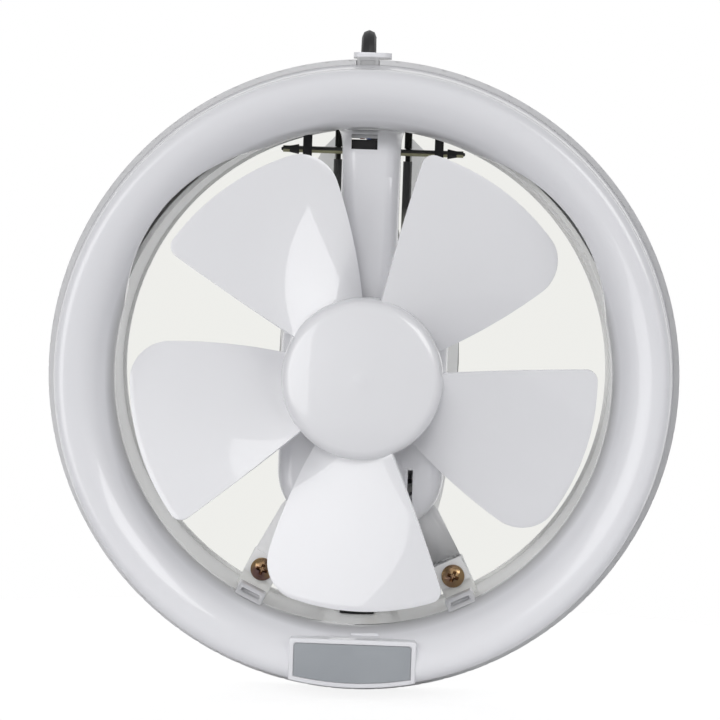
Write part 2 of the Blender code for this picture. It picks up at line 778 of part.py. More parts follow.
def make_fasteners():
    pad_front = leg_front - foot_pad_rise - seat_gap
    for name, side in (("left_foot_screw", -1), ("right_foot_screw", 1)):
        x, z = foot_place(side)
        screw(name, (x, pad_front, z), (x, pad_front + foot_screw_length, z),
              foot_head_radius, foot_head_height, foot_shank_radius, zinc_yellow)
    for index, (x, z) in enumerate(cover_boss_places()):
        seat = leg_rear + 0.0045 + seat_gap
        screw(f"cover_screw_{index + 1}", (x, seat, z), (x, seat - 0.016, z),
              cover_head_radius, cover_head_height, cover_shank_radius, zinc)
    for name, side in (("motor_screw_left", -1), ("motor_screw_right", 1)):
        x = side * motor_screw_x
        seat = core_rear + bracket_reach + seat_gap
        screw(name, (x, seat, 0), (x, core_front - bracket_reach - 0.0045, 0),
              motor_head_radius, motor_head_height, motor_screw_radius, zinc)


def make_motor():
    bore = rotor_radius + air_gap
    outline = [(core_half_width, core_bottom), (core_half_width, core_top),
               (-core_half_width, core_top), (-core_half_width, core_bottom)]
    opening = [(window_half_width, core_bottom + core_bar), (window_half_width, core_window_top),
               (-window_half_width, core_window_top), (-window_half_width, core_bottom + core_bar)]
    rotor_hole = arc((0, 0), bore, 360, 360 / 28, 27)
    core = slab("stator_core", [outline, rotor_hole, opening], (core_front, core_rear))
    for side in (-1, 1):
        x = side * motor_screw_x
        cut(core, rod(f"core_hole_{side}", (x, core_front - 0.002, 0), (x, core_rear + 0.002, 0),
                      motor_screw_radius + screw_hole_gap))
    keep(settle(core), core_steel)

    # Bobbin with two flanges round the lower bar, and the winding between them
    middle_y = (core_front + core_rear) / 2
    middle_z = core_bottom + core_bar / 2
    inner_y, inner_z = core_depth / 2 + seat_gap, core_bar / 2 + seat_gap
    tube_y, tube_z = inner_y + bobbin_wall, inner_z + bobbin_wall
    outer_y, outer_z = core_depth / 2 + coil_thickness, core_bar / 2 + coil_thickness

    def block(name, half_x, half_y, half_z, x=0.0):
        return box(name, (x - half_x, x + half_x), (middle_y - half_y, middle_y + half_y),
                   (middle_z - half_z, middle_z + half_z))

    bobbin = block("coil_bobbin", coil_half_width, tube_y, tube_z)
    for side in (-1, 1):
        x = side * (coil_half_width - bobbin_wall / 2)
        join(bobbin, block(f"flange_{side}", bobbin_wall / 2, outer_y, outer_z, x))
    cut(bobbin, block("bobbin_bore", coil_half_width + 0.001, inner_y, inner_z))
    keep(settle(bobbin), nylon)
    winding_half = coil_half_width - bobbin_wall - seat_gap
    winding = block("coil_winding", winding_half, outer_y - 0.0008, outer_z - 0.0008)
    cut(winding, block("winding_bore", coil_half_width, tube_y + seat_gap, tube_z + seat_gap))
    keep(settle(winding), coil_tape)

    for name, face, away in (("front", core_front, -1), ("rear", core_rear, 1)):
        make_bearing(name, face, away)

    hole = shaft_radius + screw_hole_gap
    half = core_depth / 2 + end_ring_length
    rotor = turned("rotor_core", [(rotor_radius, middle_y + half), (rotor_radius, middle_y - half),
                                  (hole, middle_y - half), (hole, middle_y + half)], 28)
    keep(settle(rotor), core_steel)
    keep(rod("rotor_shaft", (0, shaft_front, 0), (0, shaft_rear, 0), shaft_radius, 16), steel)


def make_bearing(name, face, away):
    """A bridge over the rotor that carries the shaft in a bush."""
    foot_end = face + away * seat_gap
    bar_inner = face + away * (bracket_reach - bracket_bar)
    bar_outer = face + away * bracket_reach
    nose = bar_inner + away * bearing_length
    half = bracket_half_height
    label = f"{name}_bearing_bracket"

    def span(first, second):
        return (min(first, second), max(first, second))

    bracket = box(label, (-core_half_width + 0.001, core_half_width - 0.001), span(bar_inner, bar_outer),
                  (-half, half))
    for side in (-1, 1):
        outer = core_half_width - 0.001
        x = sorted((side * outer, side * (outer - bracket_foot)))
        foot = box(f"{label}_foot_{side}", x, span(foot_end, bar_inner + away * 0.001), (-half, half))
        join(bracket, foot)
        place = side * motor_screw_x
        cut(bracket, rod(f"{label}_hole_{side}", (place, foot_end - away * 0.002, 0),
                         (place, bar_outer + away * 0.002, 0), motor_screw_radius + screw_hole_gap))
    join(bracket, rod(f"{label}_nose", (0, bar_inner + away * 0.0005, 0), (0, nose, 0), bearing_radius, 20))
    cut(bracket, rod(f"{label}_bore", (0, bar_inner - away * 0.001, 0), (0, nose + away * 0.001, 0),
                     bush_radius + seat_gap, 20))
    keep(settle(bracket), aluminium)
    hole = shaft_radius + screw_hole_gap
    near, far = sorted((bar_inner, nose))
    bush = turned(f"{name}_bush", [(bush_radius, far), (bush_radius, near), (hole, near), (hole, far)], 20)
    keep(settle(bush), bronze)


def make_blade(index):
    """A curved blade whose outer corners are rounded."""
    across = [0.0, 0.04, 0.25, 0.5, 0.72, 0.84, 0.93, 1.0]
    rows, columns = 4, len(across)
    builder = bmesh.new()
    bmesh.ops.create_grid(builder, x_segments=columns - 1, y_segments=rows - 1, size=0.5)
    root_radius = hub_radius - hub_wall * 0.6
    chord = blade_tip_radius * math.radians(blade_tip_front_angle - blade_tip_rear_angle)
    for vertex in builder.verts:
        v = across[round((vertex.co.x + 0.5) * (columns - 1))]
        u = vertex.co.y + 0.5
        tip = blade_tip_radius
        tip -= corner_loss(v * chord, blade_front_corner) + corner_loss((1 - v) * chord, blade_rear_corner)
        radius = root_radius + (tip - root_radius) * u
        share = (radius - root_radius) / (blade_tip_radius - root_radius)
        start = blade_front_angle + (blade_tip_front_angle - blade_front_angle) * share
        end = blade_rear_angle + (blade_tip_rear_angle - blade_rear_angle) * share
        angle = math.radians(start + (end - start) * v)
        rear = blade_root_rear + (blade_tip_rear - blade_root_rear) * share
        front = blade_root_front + (blade_tip_front - blade_root_front) * share
        y = front + (rear - front) * (0.75 * v + 0.25 * v * v)
        vertex.co = Vector((radius * math.cos(angle), y, radius * math.sin(angle)))
    blade = mesh_from(f"blade_{index}", builder)
    blade.data.transform(polar_matrix(-360.0 / blade_count * index))
    thick = blade.modifiers.new("thickness", "SOLIDIFY")
    thick.thickness = blade_thickness
    thick.offset = 0.0
    return settle(blade)


def corner_loss(distance, radius):
    """How far a rounded corner stays below the tip circle."""
    if distance >= radius:
        return 0.0
    return radius - math.sqrt(max(0.0, radius ** 2 - (radius - distance) ** 2))


def make_impeller():
    edge = hub_front + hub_dome + hub_edge_round
    flat = hub_radius - hub_edge_round
    profile = [(0.0, hub_front - hub_bump), (0.003, hub_front - hub_bump * 0.6), (0.0048, hub_front)]
    profile += [(flat * share, hub_front + hub_dome * share ** 2) for share in (0.4, 0.6, 0.8, 1.0)]
    profile += [(flat + hub_edge_round * 0.45, edge - hub_edge_round * 0.86),
                (flat + hub_edge_round * 0.8, edge - hub_edge_round * 0.58),
               (hub_radius, edge), (hub_radius, hub_rear), (hub_radius - hub_wall, hub_rear),
               (hub_radius - hub_wall, edge), (flat - 0.001, edge - hub_edge_round + hub_wall),
               (hub_sleeve_radius, hub_front + 0.003),
               (hub_sleeve_radius, hub_rear - 0.0005), (shaft_radius + seat_gap, hub_rear - 0.0005),
               (shaft_radius + seat_gap, shaft_front - seat_gap), (0.0, shaft_front - seat_gap)]
    hub = settle(turned("impeller", profile, hub_steps, closed=False))
    for index in range(blade_count):
        join(hub, make_blade(index))
    keep(settle(hub), white_plastic)
    inner = hub_sleeve_radius + seat_gap
    outer = inner + clip_thickness
    start = hub_rear - 0.0015
    clip = turned("hub_clip", [(outer, start), (outer, start - clip_length), (inner, start - clip_length),
                               (inner, start)], 20)
    keep(settle(clip), steel)


def make_wiring():
    front = arm_front + arm_wall + seat_gap
    right = window_left + window_width - 0.0002
    block = box("terminal_block", (window_left - 0.0002, right), (front, front + block_depth),
                (block_bottom, block_top))
    keep(block, black_plastic)
    for name, x, look in (("supply_wire_left", cord_x - 0.0014, wire_brown),
                          ("supply_wire_right", cord_x + 0.0014, wire_blue)):
        route = [(x, cord_y, boot_bottom - seat_gap), (x, cord_y, boot_bottom - 0.006),
                 (x, cord_y + 0.001, sleeve_outer + 0.008), (x, -0.0050, sleeve_outer + 0.001),
                 (x, -0.0050, block_top + seat_gap)]
        keep(tube(name, smooth_route(route, 0.007), wire_radius), look)
    for name, side, look in (("motor_wire_left", -1, wire_brown), ("motor_wire_right", 1, wire_blue)):
        start_x = window_left + window_width / 2 + side * 0.003
        route = [(start_x, 0.0, block_bottom - seat_gap), (start_x, 0.0, block_bottom - 0.006),
                 (side * 0.006, 0.0, 0.060), (side * 0.0085, 0.0, 0.040), (side * 0.012, -0.002, 0.024),
                 (side * 0.0135, -0.0035, 0.0), (side * 0.0125, -0.0025, -0.012),
                 (side * 0.0105, 0.0035, core_window_top - 0.0015),
                 (side * 0.0105, 0.0045, core_bottom + core_bar + coil_thickness)]
        keep(tube(name, smooth_route(route, 0.009), wire_radius * 0.8), look)


def make_shutter():
    reach = math.sqrt(sleeve_radius ** 2 - post_x ** 2)
    for name, side in (("left", -1), ("right", 1)):
        x = side * post_x
        end = reach + 0.001
        keep(rod(f"hinge_post_{name}", (x, post_y, -end), (x, post_y, end), post_radius), steel)
        make_flap(f"shutter_flap_{name}", side)
        make_rod_holder(name, side)
    y = rod_y()
    keep(rod("stop_rod", (-rod_half_length, y, rod_height), (rod_half_length, y, rod_height), rod_radius),
         zinc_yellow)


def rod_y():
    return post_y - post_radius - seat_gap - rod_radius


def make_flap(name, side):
    """Half a disc that swings on its post; drawn closed, then turned open about the post."""
    start = math.degrees(math.acos((post_x + knuckle_radius * 0.5) / flap_radius))
    rim = arc((0.0, 0.0), flap_radius, start, -start, 14)
    if side < 0:
        rim = [(-x, z) for x, z in reversed(rim)]
    flap = slab(name, [rim], (post_y - flap_thickness / 2, post_y + flap_thickness / 2))
    x = side * post_x
    join(flap, rod(name + "_knuckle", (x, post_y, knuckle_bottom), (x, post_y, knuckle_top), knuckle_radius))
    cut(flap, box(name + "_top", (x - 0.004, x + 0.004), (post_y - 0.004, post_y + 0.004),
                  (knuckle_top, flap_radius)))
    cut(flap, box(name + "_bottom", (x - 0.004, x + 0.004), (post_y - 0.004, post_y + 0.004),
                  (-flap_radius, knuckle_bottom)))
    cut(flap, rod(name + "_bore", (x, post_y, -flap_radius), (x, post_y, flap_radius),
                  post_radius + screw_hole_gap))
    for height in (-0.06, -0.02, 0.02, 0.06):
        inner, outer = sorted((side * (post_x + 0.006), side * (post_x + 0.062)))
        join(flap, box(f"{name}_rib_{height}", (inner, outer),
                       (post_y + flap_thickness / 4, post_y + flap_thickness / 2 + 0.0012),
                       (height - 0.0006, height + 0.0006)))
    flap = move_origin(settle(flap), (x, post_y, 0.0))
    flap.rotation_euler.z = side * math.radians(flap_open_angle)
    return keep(flap, ring_plastic)


def make_rod_holder(name, side):
    x = side * rod_clip_x
    y = rod_y()
    half = rod_clip_width / 2
    top = math.sqrt(sleeve_radius ** 2 - (rod_clip_x + half) ** 2) - seat_gap
    clip = box(f"rod_clip_{name}", (x - half, x + half),
               (y - rod_clip_depth / 2, min(y + rod_clip_depth / 2, post_y - flap_thickness / 2 - 0.0004)),
               (rod_height - rod_radius - 0.0014, top))
    cut(clip, rod(f"rod_clip_{name}_bore", (x - 0.004, y, rod_height), (x + 0.004, y, rod_height),
                  rod_radius + screw_hole_gap))
    keep(settle(clip), black_plastic)
    inner = side * rod_cap_start
    outer = side * (rod_half_length + rod_cap_lap)
    cap = rod(f"rod_cap_{name}", (inner, y, rod_height), (outer, y, rod_height), rod_cap_radius)
    cut(cap, rod(f"rod_cap_{name}_bore", (inner - side * 0.001, y, rod_height),
                 (side * (rod_half_length + seat_gap), y, rod_height), rod_radius + seat_gap))
    keep(settle(cap), black_rubber)


def make_cord_exit():
    stem_left = cord_x - boot_radius - grommet_cheek - 0.0005
    stem_right = cord_x + boot_radius + grommet_cheek + 0.0005
    rear = -plate_thickness - seat_gap
    grommet = box("cord_grommet", (stem_left, stem_right), (-tray_depth, rear),
                  (grommet_bottom, grommet_top - 0.001))
    head_centre = (grommet_left + grommet_right) / 2
    half = (grommet_right - grommet_left) / 2
    outline = [(head_centre + half * math.cos(a), grommet_head_y + grommet_head_half * math.sin(a))
               for a in (2 * math.pi * step / 20 for step in range(20))]
    head = slab("grommet_head", [outline], (-grommet_top, -(tray_radius + seat_gap)))
    head.data.transform(Matrix.Rotation(-math.pi / 2, 4, "X"))
    join(grommet, head)
    cut(grommet, rod("grommet_bore", (cord_x, cord_y, grommet_bottom - 0.01),
                     (cord_x, cord_y, grommet_top + 0.01), boot_radius + screw_hole_gap, 16))
    cut(grommet, box("grommet_recess", (cord_x - boot_radius, cord_x + boot_radius),
                     (-tray_depth - 0.001, -tray_depth + 0.0007),
                     (tray_radius - grommet_recess, tray_radius - 0.0005)))
    keep(settle(grommet), white_plastic)

    start = boot_top - boot_bend
    bend = [(cord_x, cord_y + boot_bend - boot_bend * math.cos(a), start + boot_bend * math.sin(a))
            for a in (math.radians(15 * step) for step in range(7))]
    route = [(cord_x, cord_y, boot_bottom), (cord_x, cord_y, start - 0.0005)] + bend
    route.append((cord_x, boot_end, boot_top))
    keep(tube("cord_boot", route, boot_radius), black_rubber)


# The cord's route from the boot, over the ring and down behind the sleeve, chosen by hand
cord_route = [(cord_x, boot_end + seat_gap, boot_top), (cord_x, 0.0080, boot_top),
              (cord_x, 0.0125, boot_top - 0.0006), (cord_x, 0.0195, boot_top - 0.0065),
              (cord_x, 0.0255, boot_top - 0.0175), (cord_x, 0.0320, sleeve_outer + 0.0095),
              (cord_x, 0.0410, sleeve_outer + 0.0055), (-0.0022, 0.0510, sleeve_outer + 0.0040),
              (-0.0012, 0.0600, sleeve_outer - 0.0020), (-0.0004, 0.0650, 0.0995),
              (-0.0012, 0.0680, 0.0870), (-0.0055, 0.0725, 0.0740), (-0.0094, 0.0758, 0.0620),
              (-0.0099, 0.0760, 0.0550), (-0.0099, 0.0760, 0.0493)]


def hank_levels():
    """Heights along a run, each with half the gap between front and rear runs; the tie draws them in."""
    middle = (hank_top + hank_bottom) / 2
    near = tie_height / 2 + 0.0012
    far = (hank_top - middle) * 0.52
    swell = hank_waist + (hank_radius - hank_waist) * 0.72
    straight = 2 * cord_radius
    return [(hank_top, hank_radius), (hank_top - straight, hank_radius), (middle + far, swell),
            (middle + near, hank_waist), (middle - near, hank_waist), (middle - far, swell),
            (hank_bottom + straight, hank_radius), (hank_bottom, hank_radius)]


def hank_points():
    """One line up and down through all runs of the hank, starting at the top of the first rear run."""
    levels = hank_levels()
    first_x = -cord_pitch * (hank_runs - 1) / 2
    points = []
    for run in range(2 * hank_runs - 1):
        behind = run % 2 == 0
        x_start = first_x + cord_pitch * (run // 2)
        for z, half_depth in levels if behind else reversed(levels):
            share = (z - hank_bottom) / (hank_top - hank_bottom)
            x = x_start if behind else x_start + cord_pitch * share
            points.append(Vector((x, hank_y + half_depth * (1 if behind else -1), z)))
        if run == 2 * hank_runs - 2:
            break
        x = points[-1].x
        end_z = hank_bottom if behind else hank_top
        for step in range(1, 5):
            a = math.radians(36 * step)
            outward = math.sin(a) * hank_radius * (-1 if behind else 1)
            rearward = math.cos(a) * hank_radius * (1 if behind else -1)
            points.append(Vector((x, hank_y + rearward, end_z + outward)))
    return points


def least_self_gap(points, radius):
    """The smallest gap between stretches of one tube that aren't neighbours along it."""
    fine = []
    for first, second in zip(points, points[1:]):
        steps = max(1, int((second - first).length / 0.001))
        fine += [first.lerp(second, step / steps) for step in range(steps)]
    least = 1.0
    skip = int(4 * radius / 0.001) + 2
    for index, point in enumerate(fine):
        for other in fine[index + skip:]:
            least = min(least, (point - other).length)
    return least - 2 * radius


def make_cord():
    keep(tube("cord_lead", smooth_route(cord_route, 0.0075), cord_radius), black_rubber)
    points = hank_points()
    print(f"least gap inside the hank: {least_self_gap(points, cord_radius) * 1000:.2f} mm")
    keep(tube("cord_hank", points, cord_radius, 1), black_rubber)

    middle = (hank_top + hank_bottom) / 2
    half_x = cord_pitch * (hank_runs - 1) / 2 + cord_radius + seat_gap
    half_y = hank_waist + cord_radius + seat_gap

    def band_outline(grow):
        return rounded_box_outline(half_x + grow, -half_y - grow, half_y + grow, cord_radius + grow, 4)

    tie = slab("cord_tie", [band_outline(tie_thickness), list(reversed(band_outline(0.0)))],
               (-tie_height / 2, tie_height / 2))
    tie.data.transform(Matrix.Translation((0, hank_y, middle)) @ Matrix.Rotation(math.pi / 2, 4, "X"))
    keep(tie, black_rubber)


def make_plug():
    last = hank_points()[-1]
    top = last.z - tail_length
    tail = [(last.x, last.y, last.z - seat_gap), (last.x, last.y, last.z - 0.007),
            (last.x - 0.0005, last.y, last.z - 0.013), (plug_x + 0.0015, last.y, top + 0.007),
            (plug_x, last.y, top + 0.003), (plug_x, last.y, top + seat_gap)]
    keep(tube("cord_tail", smooth_route(tail, 0.004), cord_radius), black_rubber)
    body = box("plug_body", (plug_x - plug_thickness / 2, plug_x + plug_thickness / 2),
               (last.y - plug_width / 2, last.y + plug_width / 2), (top - plug_length, top))
    builder = bmesh.new()
    builder.from_mesh(body.data)
    bmesh.ops.bevel(builder, geom=list(builder.edges), offset=plug_round, segments=2, affect="EDGES",
                    profile=0.5)
    builder.to_mesh(body.data)
    builder.free()
    for name, side in (("left", -1), ("right", 1)):
        y = last.y + side * pin_spacing / 2
        low = top - plug_length
        pin = rod(f"plug_pin_{name}", (plug_x, y, low + 0.004), (plug_x, y, low - pin_length), pin_radius)
        keep(pin, brass)
        cut(body, rod(f"pin_socket_{name}", (plug_x, y, low + 0.004 + seat_gap), (plug_x, y, low - 0.002),
                      pin_radius + seat_gap))
    keep(settle(body), black_rubber)


make_front_ring()
make_mounting_ring()
make_nameplate()
make_bumper()
make_motor_cover()
make_leg("left_leg", -1)
make_leg("right_leg", 1)
make_fasteners()
make_motor()
make_impeller()
make_wiring()
make_shutter()
make_cord_exit()
make_cord()
make_plug()
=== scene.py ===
# %% [markdown]
# # A round exhaust fan, dressed for its picture
#
# The fan's engineered solids are already in place when this lesson starts: a bell-mouth ring, a sleeve for
# the wall, a five-bladed impeller, a motor pod, two flaps and a cord. Here they get the surfaces that a
# camera sees. All lengths are in metres, Y runs from the room into the duct, and Z is up.

import json
import math

import bmesh
import bpy
from mathutils import Matrix, Vector

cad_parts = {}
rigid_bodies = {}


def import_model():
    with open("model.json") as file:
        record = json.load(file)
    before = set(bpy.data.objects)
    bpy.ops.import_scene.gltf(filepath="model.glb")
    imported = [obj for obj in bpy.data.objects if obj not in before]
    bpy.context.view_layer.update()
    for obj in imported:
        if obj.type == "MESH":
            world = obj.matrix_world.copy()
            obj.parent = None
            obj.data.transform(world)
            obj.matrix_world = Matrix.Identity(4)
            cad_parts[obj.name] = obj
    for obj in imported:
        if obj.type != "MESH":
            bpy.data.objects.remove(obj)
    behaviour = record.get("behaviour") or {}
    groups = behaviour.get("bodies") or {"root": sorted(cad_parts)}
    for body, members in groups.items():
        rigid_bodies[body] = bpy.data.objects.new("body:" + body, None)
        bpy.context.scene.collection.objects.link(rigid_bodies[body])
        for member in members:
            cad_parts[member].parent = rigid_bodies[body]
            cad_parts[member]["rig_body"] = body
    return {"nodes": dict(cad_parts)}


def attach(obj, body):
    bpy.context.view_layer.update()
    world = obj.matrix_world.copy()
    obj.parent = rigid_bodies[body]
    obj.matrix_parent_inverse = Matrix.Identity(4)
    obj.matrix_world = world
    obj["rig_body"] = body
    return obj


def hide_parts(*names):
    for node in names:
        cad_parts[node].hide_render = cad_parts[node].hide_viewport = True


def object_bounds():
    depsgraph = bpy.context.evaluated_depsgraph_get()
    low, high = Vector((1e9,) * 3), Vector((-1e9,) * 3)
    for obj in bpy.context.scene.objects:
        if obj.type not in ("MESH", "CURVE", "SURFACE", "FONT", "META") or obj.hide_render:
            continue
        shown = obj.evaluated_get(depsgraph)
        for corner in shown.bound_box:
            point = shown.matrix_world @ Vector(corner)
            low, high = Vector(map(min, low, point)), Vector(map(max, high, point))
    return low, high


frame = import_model()
solid_box = [list(corner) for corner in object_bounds()]
scene = bpy.context.scene

# %% [markdown]
# ## The camera
#
# The picture was taken from about 1.5 m with a long lens, almost straight on, from a touch above and to the
# right, and the fan leans two degrees clockwise in it. A camera is a frame of three arrows, so right, up and
# back are worked out one from the other and then rolled, which keeps the lean out of the fan itself.

# %% Place the camera
azimuth, elevation, lean = math.radians(1.0), math.radians(2.9), math.radians(2.0)
back = Vector((math.sin(azimuth) * math.cos(elevation), -math.cos(azimuth) * math.cos(elevation),
               math.sin(elevation)))
level = Vector((math.cos(azimuth), math.sin(azimuth), 0.0))
upright = back.cross(level)
right = level * math.cos(lean) + upright * math.sin(lean)
up = upright * math.cos(lean) - level * math.sin(lean)
metres_per_pixel, pixels_left, pixels_up = 0.000427, 1.9, 20.3
distance = 1.4945
ring_centre = Vector((0.0, -0.0485, 0.0))
target = ring_centre - right * (pixels_left * metres_per_pixel) + up * (pixels_up * metres_per_pixel)
eye = target + back * distance

lens = bpy.data.cameras.new("long_lens")
lens.lens = 175.0
lens.sensor_width = 36.0
lens.clip_end = 50.0
camera = bpy.data.objects.new("camera", lens)
camera.matrix_world = Matrix((right, up, back)).transposed().to_4x4()
camera.matrix_world.translation = eye
scene.collection.objects.link(camera)
scene.camera = camera
print("camera at", [round(value, 3) for value in eye])

# %% [markdown]
# ## Four small helpers for nodes
#
# Every finish, the floor and the world are trees of nodes. Four helpers keep them short: one adds a node,
# one joins sockets, one stretches a value to another range, and one mixes two colours.

# %% Make the node helpers
def node(tree, kind, **settings):
    """Add a shader node; settings go to its attributes, or to its sockets where the name is one."""
    made = tree.nodes.new(kind)
    for name, value in settings.items():
        if name in made.inputs:
            made.inputs[name].default_value = value
        else:
            setattr(made, name, value)
    return made


def join(tree, *pairs):
    """Link each pair of an output and an input."""
    for source, socket in pairs:
        tree.links.new(source, socket)


def spread(tree, value, low, high, start=0.3, end=0.7):
    """Turn a value between start and end into one between low and high."""
    made = node(tree, "ShaderNodeMapRange")
    for name, number in (("From Min", start), ("From Max", end), ("To Min", low), ("To Max", high)):
        made.inputs[name].default_value = number
    join(tree, (value, made.inputs["Value"]))
    return made.outputs["Result"]


def two_tone(tree, value, first, second):
    """Mix two colours by a value from 0 to 1."""
    made = node(tree, "ShaderNodeMix", data_type="RGBA")
    made.inputs["A"].default_value = (*first, 1.0)
    made.inputs["B"].default_value = (*second, 1.0)
    join(tree, (value, made.inputs["Factor"]))
    return made.outputs["Result"]


print("node helpers: 4")

# %% [markdown]
# ## Light from all round
#
# In a white studio much of the light comes from everywhere, and a world can give that alone. Here it is weak
# in front of the fan, so that the lamps can draw some shade, and strong towards the duct. What the camera
# sees behind the fan is set apart with the Light Path node, so the page stays white without a lamp being
# turned up, and polished or clear things show the same page. Seen through the sleeve it is a shade darker,
# as in the picture, and the change between the two hides behind the ring.

# %% Paint the world
front_strength, duct_strength, duct_from = 0.26, 1.0, 0.9
shade_edge, shade_full = math.cos(math.radians(4.85)), math.cos(math.radians(4.3))
white_page, shaded_page = (1.0, 1.0, 1.0), (0.86, 0.86, 0.83)
world = bpy.data.worlds.new("studio")
scene.world = world
world.use_nodes = True
tree = world.node_tree
tree.nodes.clear()
direction = node(tree, "ShaderNodeTexCoord").outputs["Generated"]
toward_fan = node(tree, "ShaderNodeVectorMath", operation="DOT_PRODUCT")
toward_fan.inputs[1].default_value = (-eye).normalized()
parts = node(tree, "ShaderNodeSeparateXYZ")
join(tree, (direction, toward_fan.inputs[0]), (direction, parts.inputs[0]))
behind_fan = spread(tree, toward_fan.outputs["Value"], 0.0, 1.0, shade_edge, shade_full)
to_the_duct = spread(tree, parts.outputs["Y"], front_strength, duct_strength, 0.0, duct_from)
seen = node(tree, "ShaderNodeBackground")
shining = node(tree, "ShaderNodeBackground", Color=(0.95, 0.96, 1.0, 1.0))
path = node(tree, "ShaderNodeLightPath")
mirror_too = node(tree, "ShaderNodeMath", operation="MAXIMUM")
clear_too = node(tree, "ShaderNodeMath", operation="MAXIMUM")
choose = node(tree, "ShaderNodeMixShader")
sky = node(tree, "ShaderNodeOutputWorld")
join(tree, (two_tone(tree, behind_fan, white_page, shaded_page), seen.inputs["Color"]),
     (to_the_duct, shining.inputs["Strength"]),
     (path.outputs["Is Camera Ray"], mirror_too.inputs[0]),
     (path.outputs["Is Glossy Ray"], mirror_too.inputs[1]),
     (mirror_too.outputs[0], clear_too.inputs[0]),
     (path.outputs["Is Transmission Ray"], clear_too.inputs[1]),
     (clear_too.outputs[0], choose.inputs[0]),
     (shining.outputs[0], choose.inputs[1]),
     (seen.outputs[0], choose.inputs[2]),
     (choose.outputs[0], sky.inputs[0]))
scene.view_settings.view_transform = "Standard"
print("world nodes:", len(tree.nodes))

# %% [markdown]
# ## Lamps for shade, and lamps for gloss
#
# A softbox does two things at once: it shades a form, and it shows in glossy plastic as a white patch with
# a hard edge. Splitting the two jobs gives control over both: four lamps only shade, two windows only show
# as gloss, and a weak lamp in the duct lifts what faces away from the room.

# %% Hang the lamps
def softbox(name, place, width, height, watts):
    """A rectangular lamp that looks at the middle of the fan."""
    lamp = bpy.data.lights.new(name, "AREA")
    lamp.shape = "RECTANGLE"
    lamp.size = width
    lamp.size_y = height
    lamp.energy = watts
    made = bpy.data.objects.new(name, lamp)
    made.matrix_world = Vector(place).to_track_quat("Z", "Y").to_matrix().to_4x4()
    made.matrix_world.translation = Vector(place)
    scene.collection.objects.link(made)
    return made


shading = [softbox("key", (-0.28, -1.80, 0.45), 0.8, 0.6, 10.0),
           softbox("left_side", (-1.07, -1.19, 0.35), 0.9, 0.9, 5.5),
           softbox("right_side", (1.10, -1.10, 0.45), 0.9, 0.9, 4.4),
           softbox("overhead", (0.0, -0.5, 1.6), 1.4, 0.8, 0.8)]
mirrored = [softbox("left_window", (-1.07, -1.19, 0.10), 1.20, 1.25, 8.5),
            softbox("right_window", (1.05, -1.10, 0.75), 0.90, 0.75, 6.5)]
duct_light = softbox("duct_light", (0.0, 0.45, 0.0), 0.34, 0.34, 0.7)
duct_light.visible_camera = False
for lamp in shading + [duct_light]:
    lamp.visible_glossy = False
for lamp in mirrored:
    lamp.visible_diffuse = False

# %% [markdown]
# ## The floor
#
# The fan stands on the rim of its mounting ring. A floor of pale paint would show an edge against the white
# page, so this one lets most of the camera's rays through to the page behind and keeps only a soft shadow.

# %% Lay the floor
clear_share, floor_glow, floor_radius, floor_gap = 0.75, 0.45, 0.32, 0.0003
floor_paint = bpy.data.materials.new("pale_floor")
floor_paint.use_nodes = True
tree = floor_paint.node_tree
tree.nodes.clear()
paint = node(tree, "ShaderNodeBsdfDiffuse", Color=(0.92, 0.92, 0.92, 1.0))
glow = node(tree, "ShaderNodeEmission", Color=(1.0, 1.0, 1.0, 1.0), Strength=floor_glow)
both = node(tree, "ShaderNodeAddShader")
clear = node(tree, "ShaderNodeBsdfTransparent")
share = node(tree, "ShaderNodeMath", operation="MULTIPLY")
share.inputs[1].default_value = clear_share
to_camera = node(tree, "ShaderNodeLightPath").outputs["Is Camera Ray"]
lit = node(tree, "ShaderNodeMixShader")
pick = node(tree, "ShaderNodeMixShader")
end = node(tree, "ShaderNodeOutputMaterial")
join(tree, (paint.outputs[0], both.inputs[0]), (glow.outputs[0], both.inputs[1]),
     (to_camera, share.inputs[0]), (to_camera, lit.inputs[0]),
     (paint.outputs[0], lit.inputs[1]), (both.outputs[0], lit.inputs[2]),
     (share.outputs[0], pick.inputs[0]), (lit.outputs[0], pick.inputs[1]),
     (clear.outputs[0], pick.inputs[2]), (pick.outputs[0], end.inputs[0]))
builder = bmesh.new()
bmesh.ops.create_circle(builder, cap_ends=True, radius=floor_radius, segments=96)
floor_mesh = bpy.data.meshes.new("floor")
builder.to_mesh(floor_mesh)
builder.free()
floor = bpy.data.objects.new("floor", floor_mesh)
floor.location.z = solid_box[0][2] - floor_gap
floor.data.materials.append(floor_paint)
scene.collection.objects.link(floor)
print("floor at", round(floor.location.z, 4))

# %% [markdown]
# ## Moulded plastic
#
# Injection-moulded plastic is never one flat colour: the gloss breathes a little over a palm's width, and
# the skin has a ripple far too fine to see as a shape. Noise on Object coordinates gives both at their real
# sizes, and a thin coat gives the sharp upper gloss.

# %% Mix the first plastics
finishes = {}


def base_of(name, metallic=0.0):
    """A new material with its tree, shader and Object coordinates."""
    made = bpy.data.materials.new(name)
    made.use_nodes = True
    finishes[name] = made
    tree = made.node_tree
    shader = tree.nodes["Principled BSDF"]
    shader.inputs["Metallic"].default_value = metallic
    return made, tree, shader, node(tree, "ShaderNodeTexCoord").outputs["Object"]


def noise(tree, where, scale, detail=3.0):
    """A soft pattern; its scale is about the number of spots in a metre."""
    made = node(tree, "ShaderNodeTexNoise", Scale=scale, Detail=detail)
    join(tree, (where, made.inputs["Vector"]))
    return made.outputs["Fac"]


def cloudy(tree, where, scale, first, second):
    """Two colours that drift into each other."""
    return two_tone(tree, spread(tree, noise(tree, where, scale), 0.0, 1.0), first, second)


